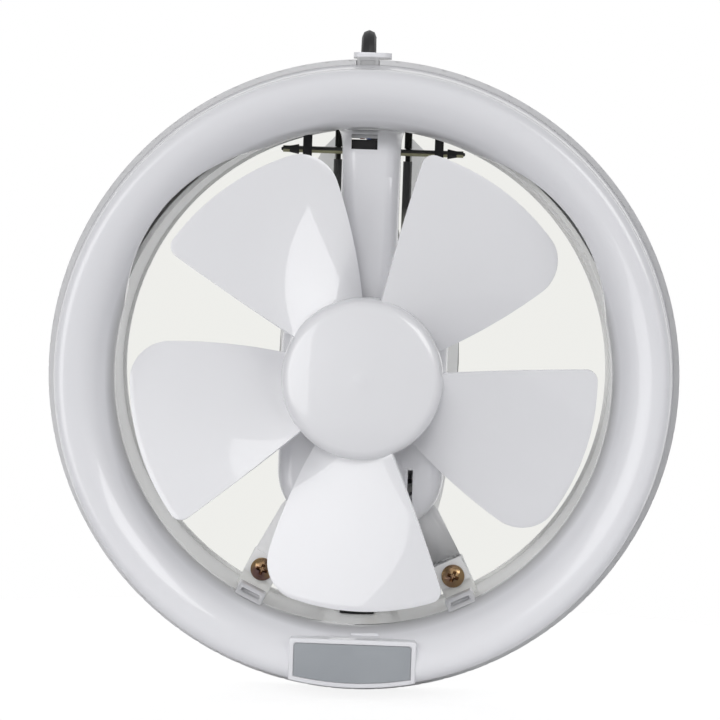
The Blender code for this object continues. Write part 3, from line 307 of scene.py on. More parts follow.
def surface(tree, shader, colour, gloss_noise, gloss, height, depth):
    """Join a colour, a range of roughness and a fine relief to a shader."""
    relief = node(tree, "ShaderNodeBump", Strength=1.0, Distance=depth)
    join(tree, (colour, shader.inputs["Base Color"]),
         (spread(tree, gloss_noise, *gloss), shader.inputs["Roughness"]),
         (height, relief.inputs["Height"]), (relief.outputs["Normal"], shader.inputs["Normal"]))


def plastic(name, colour, shade, gloss, ripple=0.00002, coat=1.0):
    made, tree, shader, where = base_of(name)
    surface(tree, shader, cloudy(tree, where, 14.0, colour, shade), noise(tree, where, 32.0), gloss,
            noise(tree, where, 900.0, 2.0), ripple)
    shader.inputs["Coat Weight"].default_value = coat
    shader.inputs["Coat Roughness"].default_value = 0.035
    return made


polished, satin = (0.34, 0.38), (0.40, 0.46)
white, white_shade = (0.79, 0.79, 0.815), (0.78, 0.78, 0.805)
gloss_white = plastic("gloss_white", white, white_shade, polished)
blade_white = plastic("blade_white", (0.79, 0.79, 0.81), (0.78, 0.78, 0.80), polished)
natural_nylon = plastic("natural_nylon", (0.72, 0.70, 0.62), (0.66, 0.64, 0.56), (0.42, 0.52), 0.00003, 0.0)
black_moulding = plastic("black_moulding", (0.010, 0.010, 0.011), (0.016, 0.016, 0.017), (0.38, 0.50),
                         coat=0.0)
black_moulding.node_tree.nodes["Principled BSDF"].inputs["Specular IOR Level"].default_value = 0.25
print("plastics:", sorted(finishes))

# %% [markdown]
# ## Plastic with painted shade
#
# The throat, its catches, the root of the arm, the grommet's foot and the rim of the mounting ring are
# greyed at set distances from the fan's axis, and that grey is painted shade. The length of the Object
# coordinates without their Y is that distance, so a grey is laid over the plastic between two radii.

# %% Lay on the painted shade
def laid_over(tree, mask, below, above):
    """Lay one tone over another where a mask is 1; the upper one is a colour or a socket."""
    made = node(tree, "ShaderNodeMix", data_type="RGBA")
    join(tree, (mask, made.inputs["Factor"]), (below, made.inputs["A"]))
    if isinstance(above, tuple):
        made.inputs["B"].default_value = (*above, 1.0)
    else:
        join(tree, (above, made.inputs["B"]))
    return made.outputs["Result"]


def paint_shade_by_radius(made, bright_at, shaded_at, grey=0.42):
    """Grey a plastic as painted shade, between two distances from the fan's axis."""
    tree = made.node_tree
    colour = tree.nodes["Principled BSDF"].inputs["Base Color"]
    flat_on = node(tree, "ShaderNodeVectorMath", operation="MULTIPLY")
    flat_on.inputs[1].default_value = (1.0, 0.0, 1.0)
    reach = node(tree, "ShaderNodeVectorMath", operation="LENGTH")
    join(tree, (node(tree, "ShaderNodeTexCoord").outputs["Object"], flat_on.inputs[0]),
         (flat_on.outputs[0], reach.inputs[0]))
    # the grey laid on between the two radii is painted shade
    painted_shade = spread(tree, reach.outputs["Value"], 0.0, 1.0, bright_at, shaded_at)
    join(tree, (laid_over(tree, painted_shade, colour.links[0].from_socket, (grey, grey, grey + 0.005)), colour))


ring_white = plastic("ring_white", white, white_shade, polished, coat=0.7)
arm_white = plastic("arm_white", white, white_shade, polished)
catch_white = plastic("catch_white", white, white_shade, satin, coat=0.4)
grommet_white = plastic("grommet_white", white, white_shade, satin, coat=0.4)
sleeve_white = plastic("sleeve_white", (0.88, 0.88, 0.86), (0.87, 0.87, 0.85), (0.56, 0.62), 0.00004, 0.1)
# Painted shade: the throat and its catches, the arm's root, the grommet's foot and the mounting ring's rim
# are greyed by their distance from the axis.
paint_shade_by_radius(ring_white, 0.1112, 0.1074)
paint_shade_by_radius(arm_white, 0.0990, 0.1080)
paint_shade_by_radius(catch_white, 0.0960, 0.1150)
paint_shade_by_radius(grommet_white, 0.1394, 0.1388)
paint_shade_by_radius(sleeve_white, 0.1340, 0.1352, 0.62)
print("plastics with dust:", len(finishes))

# %% [markdown]
# ## Metals
#
# Metal parts here are plated, turned or stamped. Plating is a colour that drifts with its thickness, turned
# steel carries fine lines along it, and stacked core sheets show as stripes. Each is one noise or wave with
# the scale of the real mark.

# %% Mix the metals
along_a_post = (1.0, 1.0, 0.08)


def metal(name, colour, shade, gloss, grain, depth=0.00002, stretch=(1.0, 1.0, 1.0)):
    made, tree, shader, where = base_of(name, 1.0)
    turn = node(tree, "ShaderNodeMapping", Scale=stretch)
    join(tree, (where, turn.inputs["Vector"]))
    lines = noise(tree, turn.outputs["Vector"], grain, 4.0)
    surface(tree, shader, cloudy(tree, where, 90.0, colour, shade), lines, gloss, lines, depth)
    return made


yellow_zinc = metal("yellow_zinc", (0.46, 0.32, 0.12), (0.22, 0.13, 0.13), (0.12, 0.24), 500.0)
bright_zinc = metal("bright_zinc", (0.60, 0.61, 0.63), (0.52, 0.54, 0.58), (0.26, 0.40), 500.0)
ground_steel = metal("ground_steel", (0.50, 0.50, 0.50), (0.42, 0.42, 0.42), (0.24, 0.38), 300.0,
                     stretch=along_a_post)
dark_steel = metal("dark_steel", (0.012, 0.012, 0.011), (0.020, 0.020, 0.018), (0.35, 0.50), 300.0,
                   stretch=along_a_post)
cast_aluminium = metal("cast_aluminium", (0.66, 0.66, 0.67), (0.58, 0.58, 0.60), (0.42, 0.58), 420.0,
                       0.00008)
sintered_bronze = metal("sintered_bronze", (0.50, 0.32, 0.15), (0.42, 0.26, 0.12), (0.40, 0.55), 800.0,
                        0.00004)
pin_brass = metal("pin_brass", (0.76, 0.58, 0.27), (0.68, 0.50, 0.22), (0.20, 0.32), 500.0)

strap_grey, tree, shader, where = base_of("strap_grey", 0.1)
grain = noise(tree, where, 700.0)
surface(tree, shader, cloudy(tree, where, 40.0, (0.92, 0.92, 0.92), (0.89, 0.89, 0.89)), grain, (0.40, 0.55),
        grain, 0.00003)

stacked_core, tree, shader, where = base_of("stacked_core", 0.9)
sheets = node(tree, "ShaderNodeTexWave", wave_type="BANDS", bands_direction="Y", Scale=320.0, Distortion=0.4)
join(tree, (where, sheets.inputs["Vector"]))
surface(tree, shader, two_tone(tree, sheets.outputs["Fac"], (0.16, 0.165, 0.175), (0.30, 0.31, 0.33)),
        noise(tree, where, 220.0), (0.38, 0.55), sheets.outputs["Fac"], 0.0001)
print("with metals:", len(finishes))

# %% [markdown]
# ## The rod and the plate
#
# The stop rod's two tones are a painted reflection: olive below and nearly black on its upper side, so its
# colour follows its height. The plate is brushed foil: its noise is drawn out along X into fine lines.

# %% Mix the rod's and the plate's finish
rod_y, rod_z = 0.0425, 0.0984
olive_rod, tree, shader, where = base_of("olive_rod", 0.4)
apart = node(tree, "ShaderNodeSeparateXYZ")
join(tree, (where, apart.inputs[0]))
# painted reflection: the rod turns nearly black along its upper side
painted_reflection_top = spread(tree, apart.outputs["Z"], 0.0, 1.0, rod_z - 0.0005, rod_z)
surface(tree, shader, two_tone(tree, painted_reflection_top, (0.34, 0.33, 0.20), (0.025, 0.025, 0.022)),
        noise(tree, where, 400.0), (0.30, 0.42), noise(tree, where, 900.0), 0.00002)

silver_plate, tree, shader, where = base_of("silver_plate", 0.55)
turn = node(tree, "ShaderNodeMapping", Scale=(0.06, 1.0, 1.0))
join(tree, (where, turn.inputs["Vector"]))
brushed = noise(tree, turn.outputs["Vector"], 1500.0)
surface(tree, shader, cloudy(tree, where, 26.0, (0.40, 0.42, 0.44), (0.34, 0.36, 0.385)),
        brushed, (0.30, 0.42), brushed, 0.00001)
print("with rod and plate:", len(finishes))

# %% [markdown]
# ## The flaps
#
# A flap is one painted sheet, but the knuckle round its post is bare and its rim is dark, and the camera
# sees it edge-on, so those two are what shows. The knuckle fades from olive grey below to nearly black
# above, a painted reflection. Masks place them: the distance from the post, with X made positive so that
# one finish serves both flaps, the height for the knuckle's painted reflection, and the distance behind
# the wall.

# %% Mix the flaps' finish
hinge_x, hinge_y = 0.0157, 0.0455
knuckle_edge, rim_edge = (0.0024, 0.0026), (0.1308, 0.1312)
sheet_paint, sheet_shade = (0.82, 0.82, 0.80), (0.80, 0.80, 0.78)
knuckle_low, nearly_black = (0.20, 0.20, 0.165), (0.015, 0.015, 0.014)
flap_white, tree, shader, where = base_of("flap_white")
apart = node(tree, "ShaderNodeSeparateXYZ")
sideways = node(tree, "ShaderNodeMath", operation="ABSOLUTE")
flat_place = node(tree, "ShaderNodeCombineXYZ")
from_hinge = node(tree, "ShaderNodeVectorMath", operation="DISTANCE")
from_hinge.inputs[1].default_value = (hinge_x, hinge_y, 0.0)
join(tree, (where, apart.inputs[0]), (apart.outputs["X"], sideways.inputs[0]),
     (sideways.outputs[0], flat_place.inputs["X"]), (apart.outputs["Y"], flat_place.inputs["Y"]),
     (flat_place.outputs[0], from_hinge.inputs[0]))
on_knuckle = spread(tree, from_hinge.outputs["Value"], 1.0, 0.0, *knuckle_edge)
# painted reflection: the knuckle fades from olive grey low down to nearly black higher up
knuckle_reflection_fade = spread(tree, apart.outputs["Z"], 0.0, 1.0, 0.066, 0.074)
at_rim = spread(tree, apart.outputs["Y"], 0.0, 1.0, *rim_edge)
knuckle = two_tone(tree, knuckle_reflection_fade, knuckle_low, nearly_black)
tone = laid_over(tree, on_knuckle, cloudy(tree, where, 14.0, sheet_paint, sheet_shade), knuckle)
surface(tree, shader, laid_over(tree, at_rim, tone, nearly_black), noise(tree, where, 60.0), satin,
        noise(tree, where, 700.0), 0.00003)
print("flap nodes:", len(tree.nodes))

# %% [markdown]
# ## Rubber, wire and tape
#
# Cord, plug and wires are dull and slightly uneven, with a weak reflection. The winding is wrapped in amber
# tape, whose turns are a wave along X.

# %% Mix the rubbers and the tape
def rubber(name, colour, shade, gloss):
    made, tree, shader, where = base_of(name)
    grain = noise(tree, where, 1200.0)
    surface(tree, shader, cloudy(tree, where, 60.0, colour, shade), grain, gloss, grain, 0.00004)
    shader.inputs["Specular IOR Level"].default_value = 0.3
    return made


cord_black = rubber("cord_black", (0.012, 0.012, 0.013), (0.020, 0.020, 0.021), (0.38, 0.52))
soft_black = rubber("soft_black", (0.016, 0.016, 0.017), (0.028, 0.028, 0.028), (0.58, 0.72))
brown_wire = rubber("brown_wire", (0.20, 0.08, 0.035), (0.16, 0.06, 0.03), (0.40, 0.50))
blue_wire = rubber("blue_wire", (0.045, 0.11, 0.38), (0.035, 0.09, 0.32), (0.40, 0.50))

amber_tape, tree, shader, where = base_of("amber_tape")
wraps = node(tree, "ShaderNodeTexWave", wave_type="BANDS", bands_direction="X", Scale=150.0, Distortion=0.8)
join(tree, (where, wraps.inputs["Vector"]))
surface(tree, shader, two_tone(tree, wraps.outputs["Fac"], (0.60, 0.38, 0.06), (0.74, 0.52, 0.12)),
        noise(tree, where, 80.0), (0.30, 0.45), wraps.outputs["Fac"], 0.00008)
print("finishes:", len(finishes))

# %% [markdown]
# ## Ways to a mesh
#
# Nearly everything on this fan is either turned, stamped or carried over. A turned piece is a short profile
# that bmesh spins round the fan's axis. A stamped piece is a flat outline that is extruded. A carried-over
# piece is a copy of its engineered solid, welded, rounded on its edges and shaded smooth.


def finish_piece(name, builder, look, body="frame", crease=35.0, stands_for=()):
    """Turn a bmesh into a piece of the fan that rides on one of its bodies."""
    mesh = bpy.data.meshes.new(name)
    builder.to_mesh(mesh)
    builder.free()
    piece = bpy.data.objects.new(name, mesh)
    scene.collection.objects.link(piece)
    mesh.materials.append(look)
    mesh.shade_smooth()
    mesh.set_sharp_from_angle(angle=math.radians(crease))
    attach(piece, body)
    if stands_for:
        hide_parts(*stands_for)
    return piece


def spun(profile, steps, closed=True, axis_at=(0.0, 0.0)):
    """Spin a profile of (radius, y) once round a line along Y; axis_at is that line's x and z."""
    builder = bmesh.new()
    corners = [builder.verts.new((axis_at[0] + radius, y, axis_at[1])) for radius, y in profile]
    edges = [builder.edges.new(pair) for pair in zip(corners, corners[1:])]
    if closed:
        edges.append(builder.edges.new((corners[-1], corners[0])))
    bmesh.ops.spin(builder, geom=corners + edges, cent=(axis_at[0], 0.0, axis_at[1]), axis=(0.0, 1.0, 0.0),
                   angle=2 * math.pi, steps=steps, use_merge=True)
    bmesh.ops.remove_doubles(builder, verts=builder.verts, dist=0.000002)
    bmesh.ops.recalc_face_normals(builder, faces=builder.faces)
    return builder


def stamped(outline, y_front, y_rear):
    """Extrude a flat outline of (x, z) points from one y to another."""
    builder = bmesh.new()
    face = builder.faces.new([builder.verts.new((x, y_front, z)) for x, z in outline])
    made = bmesh.ops.extrude_face_region(builder, geom=[face])
    moved = [item for item in made["geom"] if isinstance(item, bmesh.types.BMVert)]
    bmesh.ops.translate(builder, verts=moved, vec=(0.0, y_rear - y_front, 0.0))
    bmesh.ops.recalc_face_normals(builder, faces=builder.faces)
    return builder


def block(x, y, z):
    """A box between pairs of limits."""
    builder = bmesh.new()
    bmesh.ops.create_cube(builder, size=1.0)
    bmesh.ops.scale(builder, verts=builder.verts, vec=(x[1] - x[0], y[1] - y[0], z[1] - z[0]))
    bmesh.ops.translate(builder, verts=builder.verts, vec=(sum(x) / 2, sum(y) / 2, sum(z) / 2))
    return builder


def cylinder(start, end, radius, segments=24, end_radius=None):
    """A round bar between two points, or a cone where the end has a radius of its own."""
    start, end = Vector(start), Vector(end)
    builder = bmesh.new()
    bmesh.ops.create_cone(builder, cap_ends=True, segments=segments, radius1=radius,
                          radius2=radius if end_radius is None else end_radius, depth=(end - start).length)
    turn = (end - start).to_track_quat("Z", "Y").to_matrix()
    bmesh.ops.rotate(builder, verts=builder.verts, cent=(0, 0, 0), matrix=turn)
    bmesh.ops.translate(builder, verts=builder.verts, vec=(start + end) / 2)
    return builder


def turned(builder, degrees, axis="Y"):
    """Turn a whole bmesh about an axis through the origin; Y is the fan's own."""
    turn = Matrix.Rotation(math.radians(degrees), 3, axis)
    bmesh.ops.rotate(builder, verts=builder.verts, cent=(0, 0, 0), matrix=turn)
    return builder


def arc(centre, reach, start, end, steps):
    """Points of an arc about a centre; reach is a circle's radius or an ellipse's two half sizes."""
    wide, high = reach if isinstance(reach, tuple) else (reach, reach)
    turns = [math.radians(start + (end - start) * step / steps) for step in range(steps + 1)]
    return [(centre[0] + wide * math.cos(a), centre[1] + high * math.sin(a)) for a in turns]


def around(radius, degrees):
    """The x and z of a place on a circle about the fan's axis."""
    return radius * math.cos(math.radians(degrees)), radius * math.sin(math.radians(degrees))


# %% [markdown]
# ## Ways to finish a mesh
#
# A moulded edge is never sharp, so a Bevel modifier rounds what is left of it. Thin walls are sheets with a
# Solidify modifier. Holes and pads are cut or joined with the Boolean modifier, whose result is kept at
# once, so that the piece's faces are final before its edges are softened.

# %% Soften, thicken, carve and carry over
def soften(piece, width, segments=2, angle=30.0):
    """Round every edge sharper than an angle."""
    step = piece.modifiers.new("soft_edges", "BEVEL")
    step.width = width
    step.segments = segments
    step.limit_method = "ANGLE"
    step.angle_limit = math.radians(angle)
    step.use_clamp_overlap = True


def thicken(piece, thickness, offset=-1.0):
    """Give a sheet its wall, inwards unless the offset says otherwise."""
    step = piece.modifiers.new("wall", "SOLIDIFY")
    step.thickness = thickness
    step.offset = offset
    return piece


def carve(piece, tools, operation="DIFFERENCE"):
    """Cut tools out of a piece, or join them to it, and keep the result."""
    for builder in tools:
        mesh = bpy.data.meshes.new("tool")
        builder.to_mesh(mesh)
        builder.free()
        tool = bpy.data.objects.new("tool", mesh)
        scene.collection.objects.link(tool)
        step = piece.modifiers.new("carve", "BOOLEAN")
        step.operation = operation
        step.object = tool
        bpy.context.view_layer.update()
        done = bpy.data.meshes.new_from_object(piece.evaluated_get(bpy.context.evaluated_depsgraph_get()))
        piece.modifiers.clear()
        piece.data = done
        bpy.data.objects.remove(tool)
    piece.data.shade_smooth()
    piece.data.set_sharp_from_angle(angle=math.radians(35.0))


def carried_over(name, look, edge, crease=35.0, merge=True):
    """A welded, smooth copy of an engineered solid, in place of it."""
    source = frame["nodes"][name]
    builder = bmesh.new()
    builder.from_mesh(source.data)
    bmesh.ops.remove_doubles(builder, verts=builder.verts, dist=0.000005)
    if merge:
        bmesh.ops.dissolve_limit(builder, angle_limit=math.radians(0.5), verts=builder.verts,
                                 edges=builder.edges)
    bmesh.ops.recalc_face_normals(builder, faces=builder.faces)
    piece = finish_piece(name + "_dressed", builder, look, source["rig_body"], crease, [name])
    if edge:
        soften(piece, edge)


print("finishing helpers ready")

# %% [markdown]
# ## The front ring
#
# The ring is a bell mouth: a straight outer wall, a crown, and a quarter ellipse that leads the air into a
# narrow throat. One profile holds all of it. It is spun in fine steps, because the eye follows this circle
# from the first glance. A small bead at its foot closes the joint with the ring behind.

# %% Turn the front ring
crown_radius, crown_y, edge_radius, edge_y = 0.1275, -0.0485, 0.1325, -0.0425
throat_radius, throat_y = 0.1075, -0.0215
ring_wall, throat_wall, seat_y, seat_radius = 0.0024, 0.0018, -0.0033, 0.1352
bead_size, bead_start, bead_end, bead_foot = 0.0003, -0.0095, -0.0128, -0.0142

mouth_wide, mouth_deep = crown_radius - throat_radius, crown_y - throat_y
outer_round = arc((crown_radius, edge_y), (edge_radius - crown_radius, crown_y - edge_y), 0, 90, 10)
mouth = arc((crown_radius, throat_y), (mouth_wide, mouth_deep), 90, 173, 28)
inner_mouth = arc((crown_radius, throat_y), (mouth_wide - throat_wall, mouth_deep + ring_wall), 180, 90, 16)
inner_wall = [(edge_radius - ring_wall, edge_y), (seat_radius - ring_wall, seat_y)]
bead = [(seat_radius, seat_y), (seat_radius + bead_size, bead_start), (seat_radius + bead_size, bead_end),
        (seat_radius - bead_size, bead_foot)]
ring_profile = bead + outer_round + mouth[1:] + inner_mouth + inner_wall
front_ring = finish_piece("bell_mouth_ring", spun(ring_profile, 240), ring_white,
                          stands_for=["front_ring"])
print("ring faces:", len(front_ring.data.polygons))

# %% [markdown]
# ## The pad under the nameplate
#
# The pad is flat, with a straight top and straight sides, and its lower edge follows the ring. It is a
# stamped outline joined to the ring, and then a shallower one is cut out of it to leave a raised border.
# The ring also gets two shallow reliefs in its collar, a notch for the cord and a slot above the pad.

# %% Add the pad and the plate
pad_half, pad_top, pad_reach, pad_front, pad_depth = 0.0273, -0.1115, 0.1323, -0.0490, 0.0125
pad_corner, border, border_depth, plate_gap = 0.0012, 0.0019, 0.001, 0.0003
relief_off, relief_radius, pad_round, plate_back, plate_face = 0.0365, 0.0763, 0.0005, 0.0007, 0.0002
cord_notch = (-0.00785, 0.00225)


def pad_outline(inset):
    """The pad's outline, drawn in by an inset."""
    half, reach, top = pad_half - inset, pad_reach - inset, pad_top - inset
    lean_out = math.degrees(math.asin(half / reach))
    return (arc((half - pad_corner, top - pad_corner), pad_corner, 0, 90, 5)
            + arc((-half + pad_corner, top - pad_corner), pad_corner, 90, 180, 5)
            + arc((0.0, 0.0), reach, 270 - lean_out, 270 + lean_out, 24))


def edges_at(builder, y):
    """The edges that lie wholly at one y."""
    return [edge for edge in builder.edges if all(abs(vertex.co.y - y) < 1e-6 for vertex in edge.verts)]


pad = stamped(pad_outline(0.0), pad_front, pad_front + pad_depth)
bmesh.ops.bevel(pad, geom=edges_at(pad, pad_front), offset=pad_round, segments=3, affect="EDGES",
                profile=0.5, material=-1)
carve(front_ring, [pad], "UNION")
carve(front_ring, [stamped(pad_outline(border), pad_front - border_depth, pad_front + border_depth)])
reliefs = []
for degrees in (140, 40):
    x, z = around(relief_off, degrees)
    reliefs.append(cylinder((x, crown_y, z), (x, throat_y + 0.001, z), relief_radius, 144))
wire_notch = block(cord_notch, (-0.0125, 0.0), (0.1265, 0.1362))
pad_slot = block((-0.0012, 0.0107), (-0.0420, -0.0353), (-0.1112, -0.1100))
carve(front_ring, reliefs + [wire_notch, pad_slot])
plate = stamped(pad_outline(border + plate_gap), pad_front + plate_face, pad_front + plate_back)
soften(finish_piece("bare_nameplate", plate, silver_plate, stands_for=["nameplate"]), 0.0001)
print("pad and plate, ring faces:", len(front_ring.data.polygons))

# %% [markdown]
# ## Arm and pod
#
# One moulding with the ring in the real fan: a box-shaped arm comes down from the throat and widens into the
# pod that hides the motor. Their shared outline is a rounded box with a stem, with a small fillet where the
# two meet. Extruding it and bevelling the front edges by 7 mm gives the soft, domed front.

# %% Mould the arm and the pod
arm_half, arm_front, parting, arm_top = 0.01285, -0.0085, 0.0135, 0.1084
pod_half, pod_top, pod_bottom, pod_corner, pod_round, pod_wall = 0.0365, 0.037, -0.068, 0.025, 0.007, 0.002
fillet, vent_places, vent_half, shaft_hole_radius = 0.005, (-0.022, -0.016, 0.016, 0.022), 0.0011, 0.0075
corner_x, corner_z = pod_half - pod_corner, pod_top - pod_corner
fillet_x = arm_half + fillet
fillet_z = corner_z + math.sqrt((pod_corner + fillet) ** 2 - (fillet_x - corner_x) ** 2)
meet = math.degrees(math.atan2(fillet_z - corner_z, fillet_x - corner_x))
side = ([(arm_half, arm_top)] + arc((fillet_x, fillet_z), fillet, 180, 180 + meet, 5)
        + arc((corner_x, corner_z), pod_corner, meet, 0, 12)[1:]
        + arc((corner_x, pod_bottom + pod_corner), pod_corner, 0, -90, 16))
shell = stamped(side + [(-x, z) for x, z in reversed(side)], parting, arm_front)
bmesh.ops.bevel(shell, geom=edges_at(shell, arm_front), offset=pod_round, segments=8, affect="EDGES",
                profile=0.5, material=-1)
open_back = [face for face in shell.faces if all(abs(v.co.y - parting) < 1e-6 for v in face.verts)]
bmesh.ops.delete(shell, geom=open_back, context="FACES_ONLY")
bmesh.ops.recalc_face_normals(shell, faces=shell.faces)
pod = thicken(finish_piece("arm_and_pod", shell, arm_white), pod_wall)
window = ((-0.0088, 0.0026), (-0.0250, arm_front + 0.004), (0.0988, 0.1052))
vents = [block((x - vent_half, x + vent_half), (arm_front - 0.002, arm_front + 0.006), (-0.062, -0.041))
         for x in vent_places]
shaft_hole = cylinder((0.0, arm_front - 0.01, 0.0), (0.0, arm_front + 0.01, 0.0), shaft_hole_radius, 40)
carve(pod, [block(*window)] + vents + [shaft_hole])
strap = block((-arm_half, arm_half), (-0.0064, parting - 0.0004), (0.1036, arm_top))
soften(finish_piece("arm_strap", strap, arm_white), 0.0005)
print("pod faces:", len(pod.data.polygons))

# %% [markdown]
# ## The root of the arm
#
# The arm does not stop at the throat: its front curves out to meet the ring, and widens a little there. That
# curve is a flat grid whose rows are laid along the sweep, and whose columns go round the arm's rounded
# front. The last rows follow the throat's own arc, so that no gap opens at the arm's corners.

# %% Sweep the arm out to the ring
sweep_low, sweep_top, sweep_front, sweep_start, sweep_wall = 0.0960, 0.1075, -0.0240, 0.0870, 0.0011
sweep_limit, flare, proud = 0.1082, 0.55, 0.00004
rounded = arc((arm_half - pod_round, pod_round), (pod_round, -pod_round), 0, 90, 10)
across = [(-arm_half, 0.0120)] + [(-x, depth) for x, depth in rounded]
across += [(-x, depth) for x, depth in reversed(across)]
along = [(arm_front - proud, sweep_start + 0.0015 * step, 1.0, 0.0) for step in range(6)]
for step in range(25):
    a = math.radians(90 * step / 24)
    y_part, z_part = (sweep_top - sweep_low) * math.cos(a), (arm_front - sweep_front) * math.sin(a)
    size = math.hypot(y_part, z_part)
    along.append((arm_front - proud + (sweep_front - arm_front) * (1 - math.cos(a)),
                  sweep_low + (sweep_top - sweep_low) * math.sin(a), y_part / size, z_part / size))
sweep = bmesh.new()
bmesh.ops.create_grid(sweep, x_segments=len(across) - 1, y_segments=len(along) - 1, size=0.5)
for vertex in sweep.verts:
    x, depth = across[round((vertex.co.x + 0.5) * (len(across) - 1))]
    y, z, into_y, into_z = along[round((vertex.co.y + 0.5) * (len(along) - 1))]
    share_up = max(0.0, (z - sweep_low) / (sweep_top - sweep_low))
    x *= 1 + flare * share_up ** 3
    z += share_up ** 3 * (math.sqrt(sweep_top ** 2 - x ** 2) - sweep_top)
    vertex.co = Vector((x, y + into_y * depth, min(z + into_z * depth, sweep_limit)))
bmesh.ops.remove_doubles(sweep, verts=sweep.verts, dist=0.00001)
bmesh.ops.recalc_face_normals(sweep, faces=sweep.faces)
if sum(face.normal.y for face in sweep.faces) > 0:
    bmesh.ops.reverse_faces(sweep, faces=sweep.faces)
arm_sweep = thicken(finish_piece("arm_sweep", sweep, arm_white, crease=60.0), sweep_wall)
carve(arm_sweep, [block(*window)])
print("sweep faces:", len(arm_sweep.data.polygons))

# %% [markdown]
# ## Catches on the throat
#
# Two square tabs on the throat snap over the feet. Each is a small block whose front slants back towards the
# axis, with a slot across its face, turned about the fan's axis to its foot.

# %% Add the catches
foot_angle, slant = 25.5, 0.0065
tab_box = ((-0.0065, 0.0065), (-0.031, -0.015), (-0.1084, -0.1036))
slot_box = ((-0.0044, 0.0044), (-0.032, -0.0235), (-0.1068, -0.1052))
for name, side_sign in (("left_catch", -1), ("right_catch", 1)):
    tab = block(*tab_box)
    for vertex in tab.verts:
        if vertex.co.y < -0.030 and vertex.co.z > -0.105:
            vertex.co.y += slant
    catch = finish_piece(name, turned(tab, side_sign * -foot_angle), catch_white)
    carve(catch, [turned(block(*slot_box), side_sign * -foot_angle)])
    soften(catch, 0.0009, 3)
print("catches done")

# %% [markdown]
# ## The mounting ring
#
# Behind the front ring lies the ring that is screwed to the wall: a shallow tray with a tall rim, and the
# sleeve that goes through the hole. Its rim carries 84 small notches, which show as dark ticks along the
# edge. The profile is spun, then the holes, the cord's notch and the small notches are cut. The plate is
# shaded flat, because smooth shading across so wide a face draws streaks from hole to hole.

# %% Turn the mounting ring
sleeve_radius, sleeve_outer, sleeve_front, sleeve_end = 0.1100, 0.1120, -0.0245, 0.0475
tray_radius, tray_inner, tray_front, plate_front = 0.138, 0.1356, -0.012, -0.003
lip_radius, lip_start, wall_hole_circle, wall_hole_radius = 0.1086, 0.0445, 0.1238, 0.0023
post_hole_start, post_hole_end, post_hole_radius = 0.104, 0.114, 0.0015
notch_count, notch_size = 84, (0.0016, 0.0018, 0.0016, 1.0)
tray_profile = [(sleeve_radius, sleeve_front), (sleeve_outer, sleeve_front), (sleeve_outer, plate_front),
                (tray_inner, plate_front), (tray_inner, tray_front), (tray_radius, tray_front),
                (tray_radius, 0.0), (sleeve_outer, 0.0), (sleeve_outer, sleeve_end),
                (lip_radius, sleeve_end), (lip_radius, lip_start), (sleeve_radius, lip_start)]
mounting = finish_piece("mounting_ring_dressed", spun(tray_profile, 240), sleeve_white,
                        stands_for=["mounting_ring"])
holes = []
for degrees in (45, 135, 225, 315):
    x, z = around(wall_hole_circle, degrees)
    holes.append(cylinder((x, -0.005, z), (x, 0.002, z), wall_hole_radius))
for x in (-hinge_x, hinge_x):
    for end_sign in (-1, 1):
        start, end = (x, hinge_y, end_sign * post_hole_start), (x, hinge_y, end_sign * post_hole_end)
        holes.append(cylinder(start, end, post_hole_radius))
holes.append(block(cord_notch, (-0.013, plate_front), (0.132, 0.140)))
holes.append(block((-0.0063, 0.0007), (-0.0065, -0.0032), (0.107, 0.114)))
notches = bmesh.new()
for index in range(notch_count):
    turn = Matrix.Rotation(math.radians(360 / notch_count * index), 4, "Y")
    shift = Matrix.Translation((tray_radius, tray_front, 0.0))
    bmesh.ops.create_cube(notches, size=1.0, matrix=turn @ shift @ Matrix.Diagonal(notch_size))
carve(mounting, holes + [notches])
for face in mounting.data.polygons:
    face.use_smooth = abs(face.normal.y) < 0.999
print("mounting ring faces:", len(mounting.data.polygons))

# %% [markdown]
# ## Lugs in the sleeve
#
# Two blocks inside the sleeve take the screws of the feet. They sit at the same angle as the catches.

# %% Add the lugs
foot_radius, lug_hole_radius = 0.0988, 0.00225
lug_box = ((-0.0072, 0.0072), (0.0157, 0.0267), (-0.1105, -0.0925))
for name, side_sign in (("left_lug", -1), ("right_lug", 1)):
    lug = turned(block(*lug_box), side_sign * -foot_angle)
    lug_piece = finish_piece(name, lug, sleeve_white)
    x, z = around(foot_radius, -90 + side_sign * foot_angle)
    carve(lug_piece, [cylinder((x, 0.014, z), (x, 0.0275, z), lug_hole_radius)])
    soften(lug_piece, 0.0006)
print("lugs done")

# %% [markdown]
# ## The hub
#
# Hub and blades come out of one mould. The hub is a shallow dome with a soft bump in its middle and a round
# shoulder, and it is hollow behind, with a socket for the shaft. All of that is one open profile that starts
# and ends on the axis.

# %% Spin the hub
hub_radius, hub_front, hub_rear, hub_wall = 0.0349, -0.0485, -0.0135, 0.0022
hub_rise, hub_round, hub_bump = 0.0035, 0.0046, 0.0006
boss_radius, boss_rear, shaft_radius, shaft_front = 0.006, hub_rear - 0.0005, 0.0028, -0.0393
flat = hub_radius - hub_round
tilt = math.degrees(math.atan(2 * hub_rise / flat))
corner = hub_round / (1 - math.sin(math.radians(tilt)))
bump_top = [(0.0, hub_front - hub_bump)]
for radius, share in ((0.0012, 0.95), (0.0022, 0.75), (0.0034, 0.35), (0.0046, 0.08), (0.0058, -0.05)):
    bump_top.append((radius, hub_front - hub_bump * share))
dome = [(flat * step / 16, hub_front + hub_rise * (step / 16) ** 2) for step in range(4, 17)]
shoulder = []
for step in range(13):
    t = math.radians(tilt + (90 - tilt) * step / 12)
    shoulder.append((hub_radius - corner + corner * math.sin(t),
                     hub_front + hub_rise + corner * (math.cos(math.radians(tilt)) - math.cos(t))))
